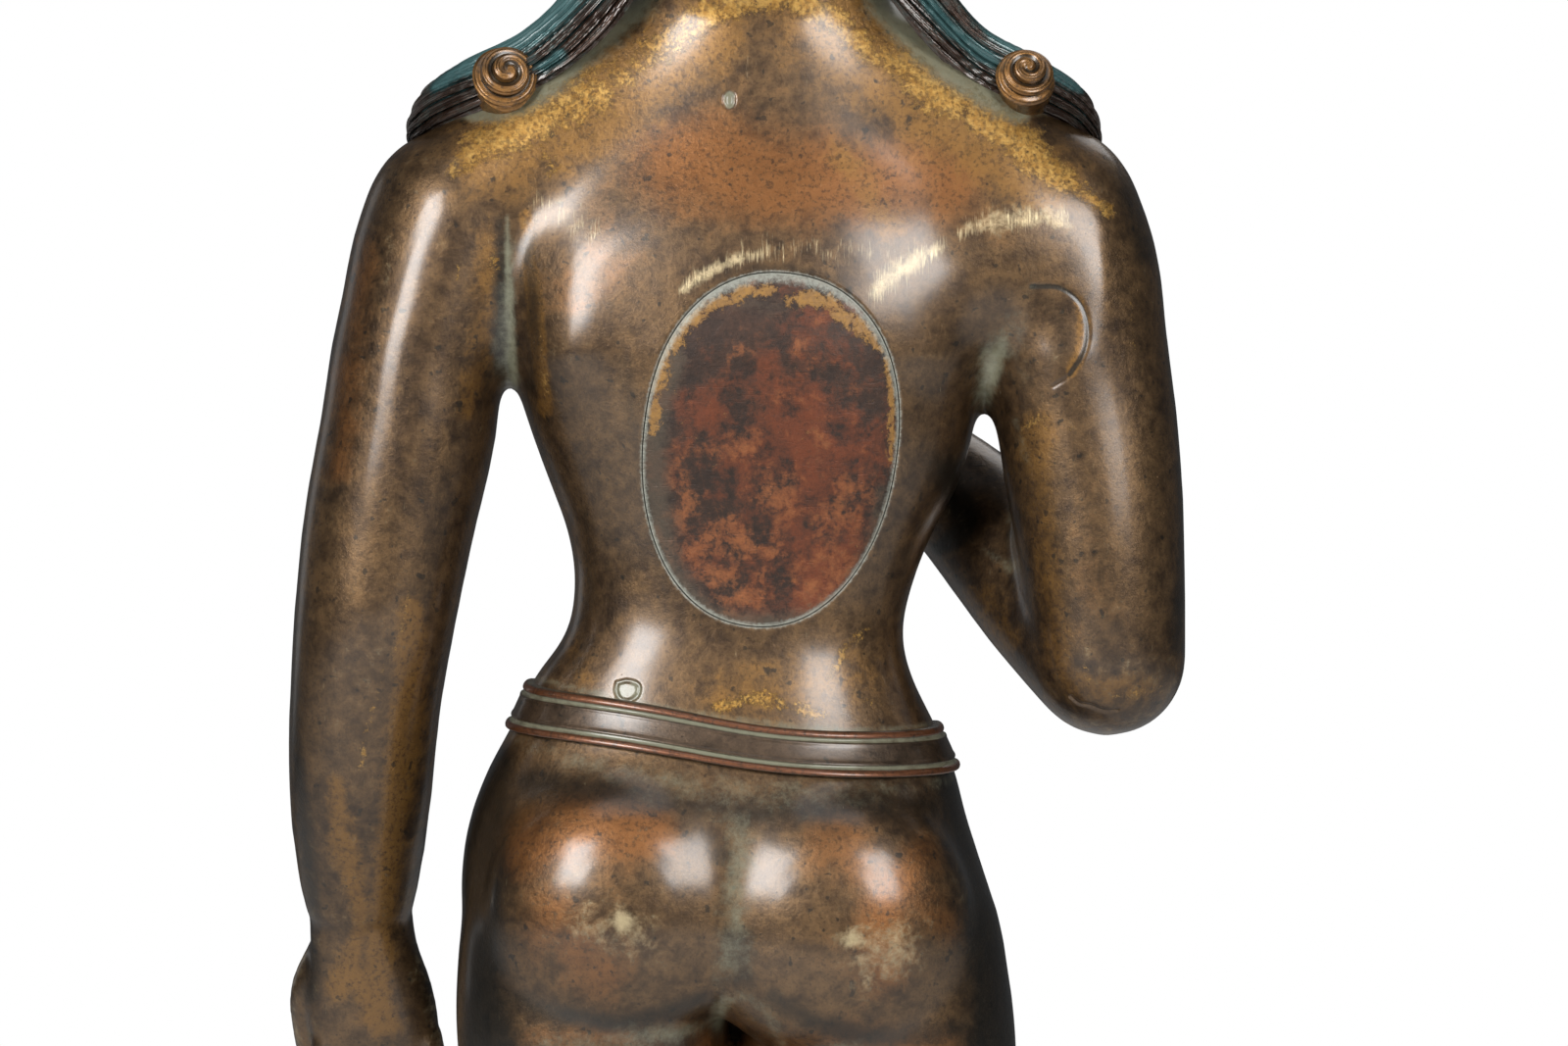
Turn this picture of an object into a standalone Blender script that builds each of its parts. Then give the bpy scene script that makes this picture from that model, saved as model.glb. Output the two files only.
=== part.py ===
"""A standing guanyin in cast bronze, its weight on its left leg, on a low lotus base.

Metres, +Z up. The figure faces -Y and its left side is +X. The origin is the middle of the
base's underside. The body's proportions count in finger breadths, a share of its height, with
heights measured up from the soles.
"""

import math

import bmesh
import bpy
import numpy as np
from mathutils import Vector

# Driving sizes, in metres
FIGURE_HEIGHT = 0.72  # soles to crown, below the topknot
BASE_HEIGHT = 0.045
BASE_MARGIN = 0.020  # from the feet to the edge of the base's top
BASE_FLARE = 0.016  # how far the lower petals stand out beyond the top
SEAT_GAP = 0.0003  # between the soles and the base
PLATE_WIDTH = 0.0680
PLATE_HEIGHT = 0.0950
PLATE_THICKNESS = 0.0040
PLATE_GAP = 0.0003  # all round the plate and behind it
PLATE_LEAN = math.radians(7)  # the plate's top leans to the figure's right
BELT_HEIGHT = 0.0124
BELT_STAND = 0.0018  # how far the belt's rims stand off the skin
BELT_RIM = 0.0020  # height of each rim

# Proportions
FINGER = FIGURE_HEIGHT / 120  # a finger's breadth
SOLE_HEIGHT = BASE_HEIGHT + SEAT_GAP
PLATE_MIDDLE = (-1.5, 81.6)  # fingers: across, and up from the soles
CHIN = 104.0  # fingers up from the soles

# Clay settings: masses are fused on a grid of this size, softened and reduced to so many faces
BODY_CLAY = (0.34 * FINGER, 22, 1900)
HEAD_CLAY = (0.19 * FINGER, 2, 1450)
HAND_CLAY = (0.19 * FINGER, 2, 390)
FOOT_CLAY = (0.24 * FINGER, 3, 250)

BRONZE = (0.23, 0.13, 0.06)
PLATE_BRONZE = (0.20, 0.08, 0.045)
BASE_BRONZE = (0.20, 0.12, 0.06)


def clear_scene():
    for old in list(bpy.data.objects):
        bpy.data.objects.remove(old)


# Curves and rings


def smooth_rows(rows, count):
    """Rows of numbers read evenly off one smooth curve through the given rows."""
    rows = np.asarray(rows, float)
    steps = np.linalg.norm(np.diff(rows[:, :3], axis=0), axis=1)
    at = np.concatenate([[0.0], np.cumsum(steps)])
    slopes = np.gradient(rows, at, axis=0)
    wanted = np.linspace(0.0, at[-1], count)
    k = np.clip(np.searchsorted(at, wanted) - 1, 0, len(at) - 2)
    span = (at[k + 1] - at[k])[:, None]
    t = ((wanted - at[k]) / (at[k + 1] - at[k]))[:, None]
    start = (2 * t**3 - 3 * t**2 + 1) * rows[k] + (t**3 - 2 * t**2 + t) * span * slopes[k]
    end = (3 * t**2 - 2 * t**3) * rows[k + 1] + (t**3 - t**2) * span * slopes[k + 1]
    return start + end


def unit_rows(vectors):
    return vectors / np.linalg.norm(vectors, axis=1, keepdims=True)


def limb(rows, facing=(0, 1, 0), sides=24, count=26, round_start=True, round_end=True):
    """Rings of a tapering limb. A row is x, y, z, half width and half depth; depth is along facing."""
    path = smooth_rows(rows, count)
    along = unit_rows(np.gradient(path[:, :3], axis=0))
    side = unit_rows(np.cross(along, facing))
    depth = np.cross(side, along)
    turn = np.linspace(0, 2 * math.pi, sides, endpoint=False)
    ring = np.cos(turn)[:, None, None] * (side * path[:, 3:4]) + np.sin(turn)[:, None, None] * (
        depth * path[:, 4:5]
    )
    rings = list(np.swapaxes(ring, 0, 1) + path[:, None, :3])
    cap_turns = np.radians([25, 50, 75])
    for end, sign, wanted in ((0, -1, round_start), (-1, 1, round_end)):
        if not wanted:
            continue
        middle = path[end, :3]
        reach = along[end] * sign * 0.5 * (path[end, 3] + path[end, 4])
        flat = rings[end] - middle
        domes = [middle + flat * math.cos(t) + reach * math.sin(t) for t in cap_turns]
        rings = domes[::-1] + rings if end == 0 else rings + domes
    return np.array(rings)


def ellipsoid(middle, radii, sides=20, count=13):
    """Rings of an upright ellipsoid."""
    tilt = np.linspace(-math.pi / 2, math.pi / 2, count + 2)[1:-1]
    turn = np.linspace(0, 2 * math.pi, sides, endpoint=False)
    x = np.cos(tilt)[:, None] * np.cos(turn) * radii[0]
    y = np.cos(tilt)[:, None] * np.sin(turn) * radii[1]
    z = np.sin(tilt)[:, None] * radii[2] + 0 * turn
    return np.stack([x, y, z], axis=2) + np.array(middle)


def upright_rings(rows, sides, count, inset=0.0, squareness=1.0):
    """Level rings. A row is height, middle x, half width, depth behind and depth in front."""
    rows = smooth_rows([(r[0], 0, 0, *r[1:]) for r in rows], count)
    turn = np.linspace(0, 2 * math.pi, sides, endpoint=False)
    cos, sin = np.cos(turn), np.sin(turn)
    across = np.sign(cos) * np.abs(cos) ** squareness
    deep = np.sign(sin) * np.abs(sin) ** squareness
    z, middle, half, behind, front = (rows[:, i : i + 1] for i in (0, 3, 4, 5, 6))
    x = middle + (half - inset) * across
    y = np.where(sin > 0, behind - inset, front - inset) * deep
    return np.stack([x, y, z + 0 * x], axis=2)


def placed(rings, turn, origin):
    """Rings made about their own origin, turned by three axes and set in place."""
    return np.asarray(rings) @ np.array(turn, float) + np.array(origin)


# Meshes


def add_rings(mesh, rings):
    """One closed tube through the rings, in metres."""
    rings = np.asarray(rings) * FINGER + np.array([0, 0, SOLE_HEIGHT])
    verts = [[mesh.verts.new(Vector(p)) for p in ring] for ring in rings]
    sides = len(verts[0])
    for low, high in zip(verts, verts[1:]):
        for k in range(sides):
            n = (k + 1) % sides
            mesh.faces.new((low[k], low[n], high[n], high[k]))
    mesh.faces.new(verts[0][::-1])
    mesh.faces.new(verts[-1])


def mesh_object(name, masses):
    """An object of closed tubes, facing out."""
    bm = bmesh.new()
    for rings in masses:
        tube = bmesh.new()
        add_rings(tube, rings)
        bmesh.ops.recalc_face_normals(tube, faces=tube.faces)
        loose = bpy.data.meshes.new("tube")
        tube.to_mesh(loose)
        tube.free()
        bm.from_mesh(loose)
        bpy.data.meshes.remove(loose)
    mesh = bpy.data.meshes.new(name)
    bm.to_mesh(mesh)
    bm.free()
    obj = bpy.data.objects.new(name, mesh)
    bpy.context.scene.collection.objects.link(obj)
    return obj


def apply_modifiers(obj):
    bpy.context.view_layer.update()
    graph = bpy.context.evaluated_depsgraph_get()
    mesh = bpy.data.meshes.new_from_object(obj.evaluated_get(graph))
    obj.modifiers.clear()
    obj.data = mesh


def fused(name, masses, clay):
    """One skin round overlapping masses, softened where they meet and reduced to few faces."""
    grid, softening, faces = clay
    obj = mesh_object(name, masses)
    remesh = obj.modifiers.new("Fuse", "REMESH")
    remesh.mode = "VOXEL"
    remesh.voxel_size = grid
    soften = obj.modifiers.new("Soften", "SMOOTH")
    soften.factor = 0.5
    soften.iterations = softening
    apply_modifiers(obj)
    triangles = sum(len(p.vertices) - 2 for p in obj.data.polygons)
    decimate = obj.modifiers.new("Reduce", "DECIMATE")
    decimate.ratio = faces / triangles
    apply_modifiers(obj)
    return obj


def combine(obj, other, operation):
    """Joins other to obj, or cuts it away, and removes it."""
    boolean = obj.modifiers.new("Combine", "BOOLEAN")
    boolean.operation = operation
    boolean.solver = "EXACT"
    boolean.object = other
    apply_modifiers(obj)
    bpy.data.objects.remove(other)


def copy_of(obj, name):
    copy = bpy.data.objects.new(name, obj.data.copy())
    bpy.context.scene.collection.objects.link(copy)
    return copy


def finish(obj, colour, roughness):
    material = bpy.data.materials.new(obj.name)
    material.use_nodes = True
    shader = material.node_tree.nodes["Principled BSDF"]
    shader.inputs["Base Color"].default_value = (*colour, 1)
    shader.inputs["Metallic"].default_value = 1.0
    shader.inputs["Roughness"].default_value = roughness
    obj.data.materials.clear()
    obj.data.materials.append(material)
    obj.data.shade_smooth()
    obj.data.set_sharp_from_angle(angle=math.radians(40))


# Trunk, legs and arms

TRUNK_SIDES = 44
TRUNK = [  # height, middle, half width, depth behind, depth in front
    (57.6, 0.3, 9.4, 4.6, 4.2),
    (59.0, 0.35, 11.4, 6.0, 4.9),
    (60.6, 0.4, 12.1, 6.7, 5.3),
    (62.9, 0.7, 11.85, 7.0, 5.6),
    (65.1, 0.85, 11.3, 6.6, 5.8),
    (67.3, 0.7, 10.6, 5.8, 5.9),
    (69.3, 0.6, 9.6, 5.1, 5.8),
    (71.4, 0.62, 8.6, 4.6, 5.4),
    (73.1, 0.18, 7.75, 4.4, 5.1),
    (75.4, -0.28, 7.7, 4.5, 5.0),
    (77.8, -0.6, 8.3, 4.9, 5.2),
    (80.3, -0.8, 9.4, 5.5, 5.6),
    (82.5, -0.7, 10.1, 6.0, 6.0),
    (84.5, -0.5, 10.55, 6.3, 6.2),
    (88.0, -0.6, 11.8, 6.5, 6.2),
    (91.2, -0.7, 11.8, 6.1, 5.6),
    (94.0, -0.7, 10.4, 5.2, 4.9),
    (97.0, -0.7, 8.0, 4.2, 4.4),
    (99.5, -0.7, 5.5, 3.6, 4.2),
]


def trunk(inset=0.0, count=60):
    return upright_rings(TRUNK, TRUNK_SIDES, count, inset=inset, squareness=0.86)


def trunk_swells():
    """The buttocks, shoulder blades and breast, as soft masses on the trunk."""
    return [
        ellipsoid((4.9, 4.2, 61.2), (6.5, 4.0, 6.2), 24, 17),
        ellipsoid((-4.1, 4.2, 60.6), (6.6, 4.0, 6.4), 24, 17),
        ellipsoid((5.0, 1.0, 88.2), (5.7, 4.9, 7.2), 20, 13),
        ellipsoid((-6.2, 1.0, 88.2), (5.7, 4.9, 7.2), 20, 13),
        ellipsoid((4.4, -2.9, 88.0), (5.0, 4.0, 4.6), 20, 13),
        ellipsoid((-5.4, -2.9, 88.0), (5.0, 4.0, 4.6), 20, 13),
    ]


def shoulders():
    """The ridge from shoulder to shoulder behind the neck, and the neck."""
    ridge = [
        (12.2, 0.2, 92.2, 4.2, 4.2),
        (9.0, 0.0, 94.9, 4.2, 4.1),
        (5.0, -0.2, 97.0, 4.8, 4.0),
        (-0.7, 0.0, 98.0, 4.6, 4.4),
        (-6.4, -0.2, 97.2, 4.8, 4.0),
        (-10.4, 0.0, 95.3, 4.3, 4.1),
        (-13.8, 0.2, 92.3, 4.3, 4.3),
    ]
    neck = [
        (-0.9, 0.0, 96.5, 8.2, 4.1),
        (-0.9, 0.0, 99.5, 7.3, 3.9),
        (-0.9, 0.2, 102.2, 6.1, 4.0),
        (-0.6, 0.3, 104.8, 4.8, 4.6),
        (-0.3, 0.0, 107.0, 4.3, 4.5),
    ]
    return [limb(ridge), limb(neck)]


def left_arm():
    return limb(
        [
            (12.5, 0.2, 92.0, 4.6, 4.35),
            (13.3, 0.3, 90.0, 4.45, 4.35),
            (13.9, 0.4, 88.0, 4.2, 4.3),
            (14.6, 0.5, 85.5, 4.0, 4.2),
            (14.9, 0.6, 83.0, 4.05, 4.1),
            (15.8, 0.6, 78.5, 3.95, 3.95),
            (16.55, 0.4, 73.6, 3.7, 3.7),
            (17.0, -0.5, 70.0, 3.5, 3.45),
            (17.25, -1.5, 66.4, 3.35, 3.1),
            (17.4, -2.7, 62.9, 3.0, 2.5),
            (17.45, -3.6, 59.9, 2.45, 1.85),
        ],
        count=40,
        round_end=False,
    )


def right_arm():
    """The upper arm hangs; the forearm rises in front of the chest."""
    upper = [
        (-13.8, 0.2, 92.1, 4.7, 4.4),
        (-14.6, 0.3, 90.3, 4.55, 4.5),
        (-15.35, 0.4, 86.1, 4.35, 4.4),
        (-15.8, 0.5, 83.8, 4.2, 4.2),
        (-16.2, 0.6, 80.7, 4.1, 4.0),
        (-16.65, 0.6, 76.3, 3.8, 3.85),
        (-16.9, 0.3, 72.5, 3.6, 3.7),
    ]
    forearm = [
        (-16.9, 0.2, 72.2, 3.65, 3.6),
        (-14.6, -2.4, 74.6, 3.45, 3.3),
        (-11.2, -6.0, 78.65, 3.1, 2.9),
        (-8.6, -8.7, 81.2, 2.6, 2.3),
        (-7.6, -9.8, 82.4, 2.3, 1.85),
    ]
    return [limb(upper, count=34), limb(forearm, round_end=False)]


LEFT_LEG = [
    (6.5, 1.0, 60.0, 6.1, 5.6),
    (6.6, 0.6, 56.0, 6.25, 6.0),
    (6.1, 0.0, 50.0, 5.9, 6.0),
    (5.6, -0.4, 43.0, 5.2, 5.4),
    (5.1, -0.8, 36.0, 4.5, 4.8),
    (4.7, -1.0, 30.5, 4.0, 4.4),
    (4.5, -0.5, 25.0, 3.85, 4.1),
    (4.3, 0.2, 19.0, 3.7, 3.8),
    (4.1, 0.7, 13.0, 3.1, 3.2),
    (4.0, 1.0, 9.6, 2.9, 2.9),
    (4.0, 1.0, 8.0, 3.3, 3.3),
]
RIGHT_LEG = [
    (-6.2, 0.8, 59.0, 6.0, 5.6),
    (-6.5, 0.3, 55.0, 6.25, 6.0),
    (-6.8, -0.8, 49.0, 5.9, 6.0),
    (-7.2, -2.0, 42.5, 5.2, 5.5),
    (-7.4, -2.9, 36.0, 4.5, 4.9),
    (-7.5, -3.1, 30.5, 4.0, 4.5),
    (-7.4, -2.2, 25.0, 3.85, 4.1),
    (-7.2, -1.0, 19.0, 3.7, 3.8),
    (-7.0, -0.1, 13.0, 3.1, 3.2),
    (-6.9, 0.4, 9.6, 2.9, 2.9),
    (-6.9, 0.4, 8.0, 3.3, 3.3),
]


def legs():
    return [limb(rows, count=50, round_end=False) for rows in (LEFT_LEG, RIGHT_LEG)]


# Feet and hands

FEET = ((4.0, 1.0, 0.10), (-6.9, 0.4, -0.22))  # ankle x, ankle y, and how far the toes turn out


def foot(ankle_x, ankle_y, splay):
    """A bare foot, its toes towards -Y and turned out by splay, with the ankle above it."""
    sole = [
        (0, 3.6, 1.5, 1.4, 1.5),
        (0, 2.2, 2.0, 2.0, 2.2),
        (0, 0.0, 2.5, 2.1, 2.7),
        (0, -3.0, 2.2, 2.3, 2.4),
        (0, -6.0, 1.5, 2.7, 1.7),
        (0, -8.6, 1.0, 2.9, 1.2),
        (0, -9.8, 0.8, 2.7, 0.9),
    ]
    inner = -1 if splay > 0 else 1
    toes = [(1.95, 3.9, 0.95), (0.75, 3.6, 0.7), (-0.35, 3.2, 0.66), (-1.35, 2.6, 0.62), (-2.2, 1.9, 0.58)]
    shapes = [limb(sole, facing=(0, 0, 1), count=20)]
    shapes.append(limb([(0, 0.2, 10.5, 2.2, 2.3), (0, 0.1, 6.5, 1.9, 2.2), (0, 0, 2.6, 2.1, 2.4)], count=10))
    for across, reach, radius in toes:
        x = inner * across
        rows = [
            (x, -8.6, 0.7, radius, radius),
            (x, -8.6 - reach * 0.6, 0.75, radius, radius * 0.95),
            (x, -8.6 - reach, 0.45, radius * 0.9, radius * 0.75),
        ]
        shapes.append(limb(rows, facing=(0, 0, 1), sides=12, count=8))
    cos, sin = math.cos(splay), math.sin(splay)
    turn = ((cos, sin, 0), (-sin, cos, 0), (0, 0, 1))
    return [placed(s, turn, (ankle_x, ankle_y, 0)) for s in shapes]


def hand(wrist, reach, back, curl_index):
    """A hand along reach from the wrist, its back facing back and its thumb towards +X."""
    reach = np.array(reach) / np.linalg.norm(reach)
    thumb_side = np.cross(back, reach)
    thumb_side *= math.copysign(1 / np.linalg.norm(thumb_side), thumb_side[0])
    normal = np.cross(reach, thumb_side)
    normal *= math.copysign(1, np.dot(normal, back))
    axes = (thumb_side, normal, reach)  # local x, y and z
    palm = [
        (0.0, 0.0, -1.0, 2.35, 1.9),
        (0.0, 0.0, 1.2, 2.5, 1.6),
        (-0.1, 0.0, 3.2, 2.9, 1.35),
        (-0.2, 0.0, 5.0, 3.0, 1.15),
        (-0.25, 0.0, 6.3, 2.9, 0.95),
    ]
    thumb = [
        (1.5, -0.5, 1.2, 1.1, 1.0),
        (2.5, -0.9, 3.3, 1.15, 1.0),
        (2.9, -1.5, 5.4, 0.85, 0.8),
        (2.8, -2.0, 7.4, 0.7, 0.6),
    ]
    fingers = [(2.05, 5.2, 0.80), (0.5, 6.0, 0.82), (-1.1, 5.6, 0.80), (-2.6, 4.5, 0.72)]
    shapes = [limb(palm, sides=20, count=14), limb(thumb, sides=14, count=12)]
    for number, (across, length, radius) in enumerate(fingers):
        bend = 0.35 + 0.25 * number
        rows = [
            (across, 0.0, 5.6, radius, radius),
            (across * 1.06, -0.2 * bend, 5.9 + length * 0.5, radius * 0.95, radius * 0.9),
            (across * 1.02, -bend, 5.9 + length, radius * 0.72, radius * 0.66),
        ]
        if number == 0 and curl_index:
            rows = [
                (across, 0.0, 5.6, radius, radius),
                (across + 0.3, -1.2, 7.6, radius * 0.95, radius * 0.95),
                (across + 0.6, -2.6, 8.2, radius * 0.85, radius * 0.85),
                (across + 0.75, -3.1, 7.4, radius * 0.75, radius * 0.75),
            ]
        shapes.append(limb(rows, sides=14, count=14))
    return [placed(s, axes, wrist) for s in shapes]


# Head, face and hair


def face_relief(x, h):
    """How far the face stands out at x across from its middle and h above the chin, in fingers."""

    def bump(cx, ch, wx, wh):
        return np.exp(-(((x - cx) / wx) ** 2) - ((h - ch) / wh) ** 2)

    nose_run = np.clip((8.4 - h) / 4.0, 0, 1)
    nose_end = 1 / (1 + np.exp(-(h - 3.95) / 0.2))
    nose = (0.25 + 1.45 * nose_run**1.3) * nose_end * np.exp(-((x / (0.62 + 0.42 * nose_run)) ** 2))
    nose = nose * (h < 9.2) * np.clip((9.2 - h) / 0.8, 0, 1)
    side = np.abs(x)

    def pair(cx, ch, wx, wh):
        return np.exp(-(((side - cx) / wx) ** 2) - ((h - ch) / wh) ** 2)

    wings = 0.45 * pair(0.95, 4.35, 0.42, 0.42)
    sockets = -0.55 * pair(2.3, 7.3, 1.5, 0.75)
    lids = 0.42 * pair(2.5, 6.75, 1.25, 0.62)
    brow_line = 8.1 + 0.75 * np.sin(np.clip((side - 0.6) / 4.4, 0, 1) * math.pi)
    brows = 0.2 * np.exp(-(((h - brow_line) / 0.28) ** 2)) * (side > 0.5) * (side < 4.8)
    lips = 0.5 * pair(0.6, 2.85, 0.75, 0.34) + 0.52 * bump(0, 2.15, 1.15, 0.36)
    chin = 0.45 * bump(0, 0.8, 1.3, 0.8)
    cheeks = 0.3 * pair(3.2, 4.4, 1.6, 1.5)
    return nose + wings + sockets + lids + brows + lips + chin + cheeks


def head():
    """Face and hair cap in one form: the hair stands out above a hairline that drops to the nape."""
    rows = [  # height above the chin, middle, half width, behind, front
        (-0.4, 0, 1.6, 1.0, 5.6),
        (0.5, 0, 3.1, 2.6, 6.3),
        (2.0, 0, 4.5, 4.2, 6.6),
        (4.5, 0, 5.5, 5.8, 6.7),
        (7.5, 0, 6.1, 7.0, 6.7),
        (10.5, 0, 6.3, 7.4, 6.7),
        (13.0, 0, 5.7, 6.9, 5.9),
        (15.0, 0, 3.9, 4.9, 4.1),
        (16.0, 0, 1.6, 2.2, 1.8),
    ]
    rings = upright_rings(rows, sides=96, count=90)
    x, y, h = rings[:, :, 0], rings[:, :, 1], rings[:, :, 2]
    outward = unit_rows(np.stack([x, y], axis=2).reshape(-1, 2)).reshape(x.shape + (2,))
    front = np.clip(-outward[:, :, 1] * 1.6 - 0.5, 0, 1)
    hairline = 11.7 - 0.75 * (y + 6.7)
    hair = 1 / (1 + np.exp(-(h - hairline) / 0.12))
    out = face_relief(x, h) * front * (1 - hair) + 0.6 * hair
    rings[:, :, :2] += outward * out[:, :, None]
    return placed(rings, np.eye(3), (-0.3, -0.4, CHIN))


def ears():
    shapes = []
    for side in (1, -1):
        rows = [
            (side * 6.1, 0.6, 9.2, 0.75, 0.7),
            (side * 6.55, 0.9, 8.2, 0.7, 1.3),
            (side * 6.5, 0.5, 6.0, 0.65, 1.15),
            (side * 6.2, 0.1, 3.6, 0.6, 0.85),
            (side * 6.0, -0.1, 1.2, 0.65, 0.95),
            (side * 5.9, -0.1, 0.2, 0.5, 0.7),
        ]
        shapes.append(placed(limb(rows, count=20, sides=16), np.eye(3), (-0.3, -0.4, CHIN)))
    return shapes


def topknot():
    """Hair bound above the crown in a tall flamed knot, with a plain band round its foot."""
    rows = [
        (118.6, -0.3, 3.6, 3.9, 3.3),
        (120.4, -0.3, 3.2, 3.4, 3.0),
        (121.2, -0.3, 3.0, 3.2, 2.9),
        (123.6, -0.3, 3.9, 4.0, 3.8),
        (126.4, -0.3, 3.4, 3.5, 3.3),
        (128.6, -0.3, 2.1, 2.1, 2.0),
        (129.8, -0.3, 0.5, 0.5, 0.5),
    ]
    knot = upright_rings(rows, sides=84, count=34)
    middle = np.array([-0.3, 0.2])
    knot[:, :, 1] += 0.5
    turn = np.arctan2(knot[:, :, 1] - middle[1], knot[:, :, 0] - middle[0])
    lock = 1 + 0.055 * np.cos(12 * turn + 0.35 * (knot[:, :, 2] - 120))
    knot[:, :, :2] = middle + (knot[:, :, :2] - middle) * lock[:, :, None]
    band = upright_rings(
        [(120.2, -0.3, 3.5, 3.9, 3.0), (120.8, -0.3, 3.6, 4.0, 3.1), (121.4, -0.3, 3.5, 3.9, 3.0)], 40, 7
    )
    return [knot, band]


def tiara():
    """A plain band over the brow with three leaf plaques."""
    band_rows = [
        (115.3, -0.3, 6.6, 7.2, 7.3),
        (116.1, -0.3, 6.9, 7.4, 7.4),
        (116.9, -0.3, 6.4, 7.0, 7.0),
    ]
    shapes = [upright_rings(band_rows, sides=48, count=9)]
    for turn_deg, height, half in ((0, 5.4, 1.7), (52, 4.0, 1.4), (-52, 4.0, 1.4)):
        turn = math.radians(turn_deg)
        out = np.array([math.sin(turn), -math.cos(turn), 0])
        side = np.array([math.cos(turn), math.sin(turn), 0])
        up = np.array([0, 0, 1]) - 0.18 * out
        leaf = [
            (0, 0, 0.0, half * 0.75, 0.45),
            (0, 0, height * 0.35, half, 0.5),
            (0, 0, height * 0.7, half * 0.62, 0.42),
            (0, 0, height, 0.15, 0.2),
        ]
        foot_of_leaf = np.array([-0.3, -0.2, 115.8]) + out * 6.9 * (0.93 if turn_deg else 1.0)
        shapes.append(placed(limb(leaf, sides=14, count=12), (side, -out, up), foot_of_leaf))
    return shapes


LEFT_TRESS = [
    (3.7, 2.4, 109.5, 1.3, 0.9),
    (4.9, 3.2, 106.2, 1.4, 0.95),
    (6.1, 2.9, 102.4, 1.75, 1.0),
    (9.0, 2.1, 99.55, 1.55, 1.0),
    (12.1, 1.5, 98.1, 1.4, 1.0),
    (13.75, 0.2, 97.2, 1.35, 0.9),
    (14.1, -1.8, 95.7, 1.0, 0.8),
    (14.0, -3.3, 93.8, 0.5, 0.5),
]
RIGHT_TRESS = [
    (-4.4, 2.4, 109.5, 1.3, 0.9),
    (-6.0, 3.2, 106.2, 1.4, 0.95),
    (-8.2, 2.9, 102.4, 1.35, 1.0),
    (-10.6, 2.1, 99.75, 1.3, 1.0),
    (-13.5, 1.5, 98.2, 1.35, 1.0),
    (-15.3, 0.2, 97.15, 1.3, 0.9),
    (-15.7, -1.8, 95.5, 1.0, 0.8),
    (-15.5, -3.3, 93.8, 0.5, 0.5),
]
LOCKS = 5


def tresses():
    """A flat tress over each shoulder, fluted along its length."""
    shapes = []
    for rows, side in ((LEFT_TRESS, 1), (RIGHT_TRESS, -1)):
        tress = limb(rows, (0.25 * side, 0.62, 0.74), 4 * LOCKS, 12, False, False)
        middles = tress.mean(axis=1, keepdims=True)
        turn = np.linspace(0, 2 * math.pi, 4 * LOCKS, endpoint=False)
        flute = 1 + 0.09 * np.cos(2 * LOCKS * turn)
        shapes.append(middles + (tress - middles) * flute[None, :, None])
    return shapes


CURLS = ((10.5, 2.8, 98.3, 1.45), (-13.0, 2.8, 98.3, 1.3))  # middle of the foot, and radius
CURL_HEIGHT = 1.45
CURL_TURNS = 3


def curl(middle, foot_radius):
    """A snail curl: a low cone whose edge winds up to its tip."""
    lift = math.radians(30)
    axis = np.array([0, math.cos(lift), math.sin(lift)])
    side = np.array([1.0, 0, 0])
    up = np.cross(side, axis)
    turn = np.linspace(0, 2 * math.pi, 14, endpoint=False)
    rings = []
    for share in np.linspace(0, 1, 2 * CURL_TURNS + 2)[:-1]:
        winding = share + turn / (2 * math.pi) / CURL_TURNS
        radius = foot_radius * (1 - share) ** 0.8 * (1 + 0.07 * np.cos(winding * CURL_TURNS * 2 * math.pi))
        height = CURL_HEIGHT * share
        flat = np.cos(turn)[:, None] * side + np.sin(turn)[:, None] * up
        rings.append(np.array(middle) + flat * radius[:, None] + axis * height)
    root = rings[0] - axis * 1.6
    return np.array([root, *rings])


# Belt and lower garment


def belt_middle_height(across, behind):
    """The belt's height round the hips: it rises to the figure's left and dips behind and in front."""
    return 69.31 + 0.1 * across - 0.8 * behind


def belt():
    """A flat band with a rim above and below, following the hips."""
    skin = trunk()
    turn = np.linspace(0, 2 * math.pi, TRUNK_SIDES, endpoint=False)
    half, rim, stand = (0.5 * BELT_HEIGHT / FINGER, BELT_RIM / FINGER, BELT_STAND / FINGER)
    profile = [  # how far it stands off the skin, and its height from the belt's middle line
        (-1.4, -half),
        (stand * 0.8, -half),
        (stand, -half + rim * 0.7),
        (stand * 0.45, -half + rim * 1.2),
        (stand * 0.5, half - rim * 1.2),
        (stand, half - rim * 0.7),
        (stand * 0.8, half),
        (-1.4, half),
    ]
    behind = np.clip(np.sin(turn), 0, 1) ** 0.6 + 0.95 * np.clip(-np.sin(turn), 0, 1)
    middle = belt_middle_height(9.6 * np.cos(turn), behind)
    out = np.stack([np.cos(turn), np.sin(turn), 0 * turn], axis=1)
    loops = []
    for stands, rise in profile:
        loop = [
            [np.interp(z, skin[:, k, 2], skin[:, k, axis]) for axis in (0, 1, 2)]
            for k, z in enumerate(middle + rise)
        ]
        loops.append(np.array(loop) + out * (stands + 0.1))
    return ring_object("belt", loops)


def ring_object(name, loops):
    """A closed hoop through loops that run round it, one for each corner of its section."""
    bm = bmesh.new()
    places = [loop * FINGER + np.array([0, 0, SOLE_HEIGHT]) for loop in loops]
    verts = [[bm.verts.new(Vector(p)) for p in loop] for loop in places]
    for a, b in zip(verts, verts[1:] + verts[:1]):
        for k in range(len(a)):
            n = (k + 1) % len(a)
            bm.faces.new((a[k], a[n], b[n], b[k]))
    bmesh.ops.recalc_face_normals(bm, faces=bm.faces)
    mesh = bpy.data.meshes.new(name)
    bm.to_mesh(mesh)
    bm.free()
    obj = bpy.data.objects.new(name, mesh)
    bpy.context.scene.collection.objects.link(obj)
    return obj


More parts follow.
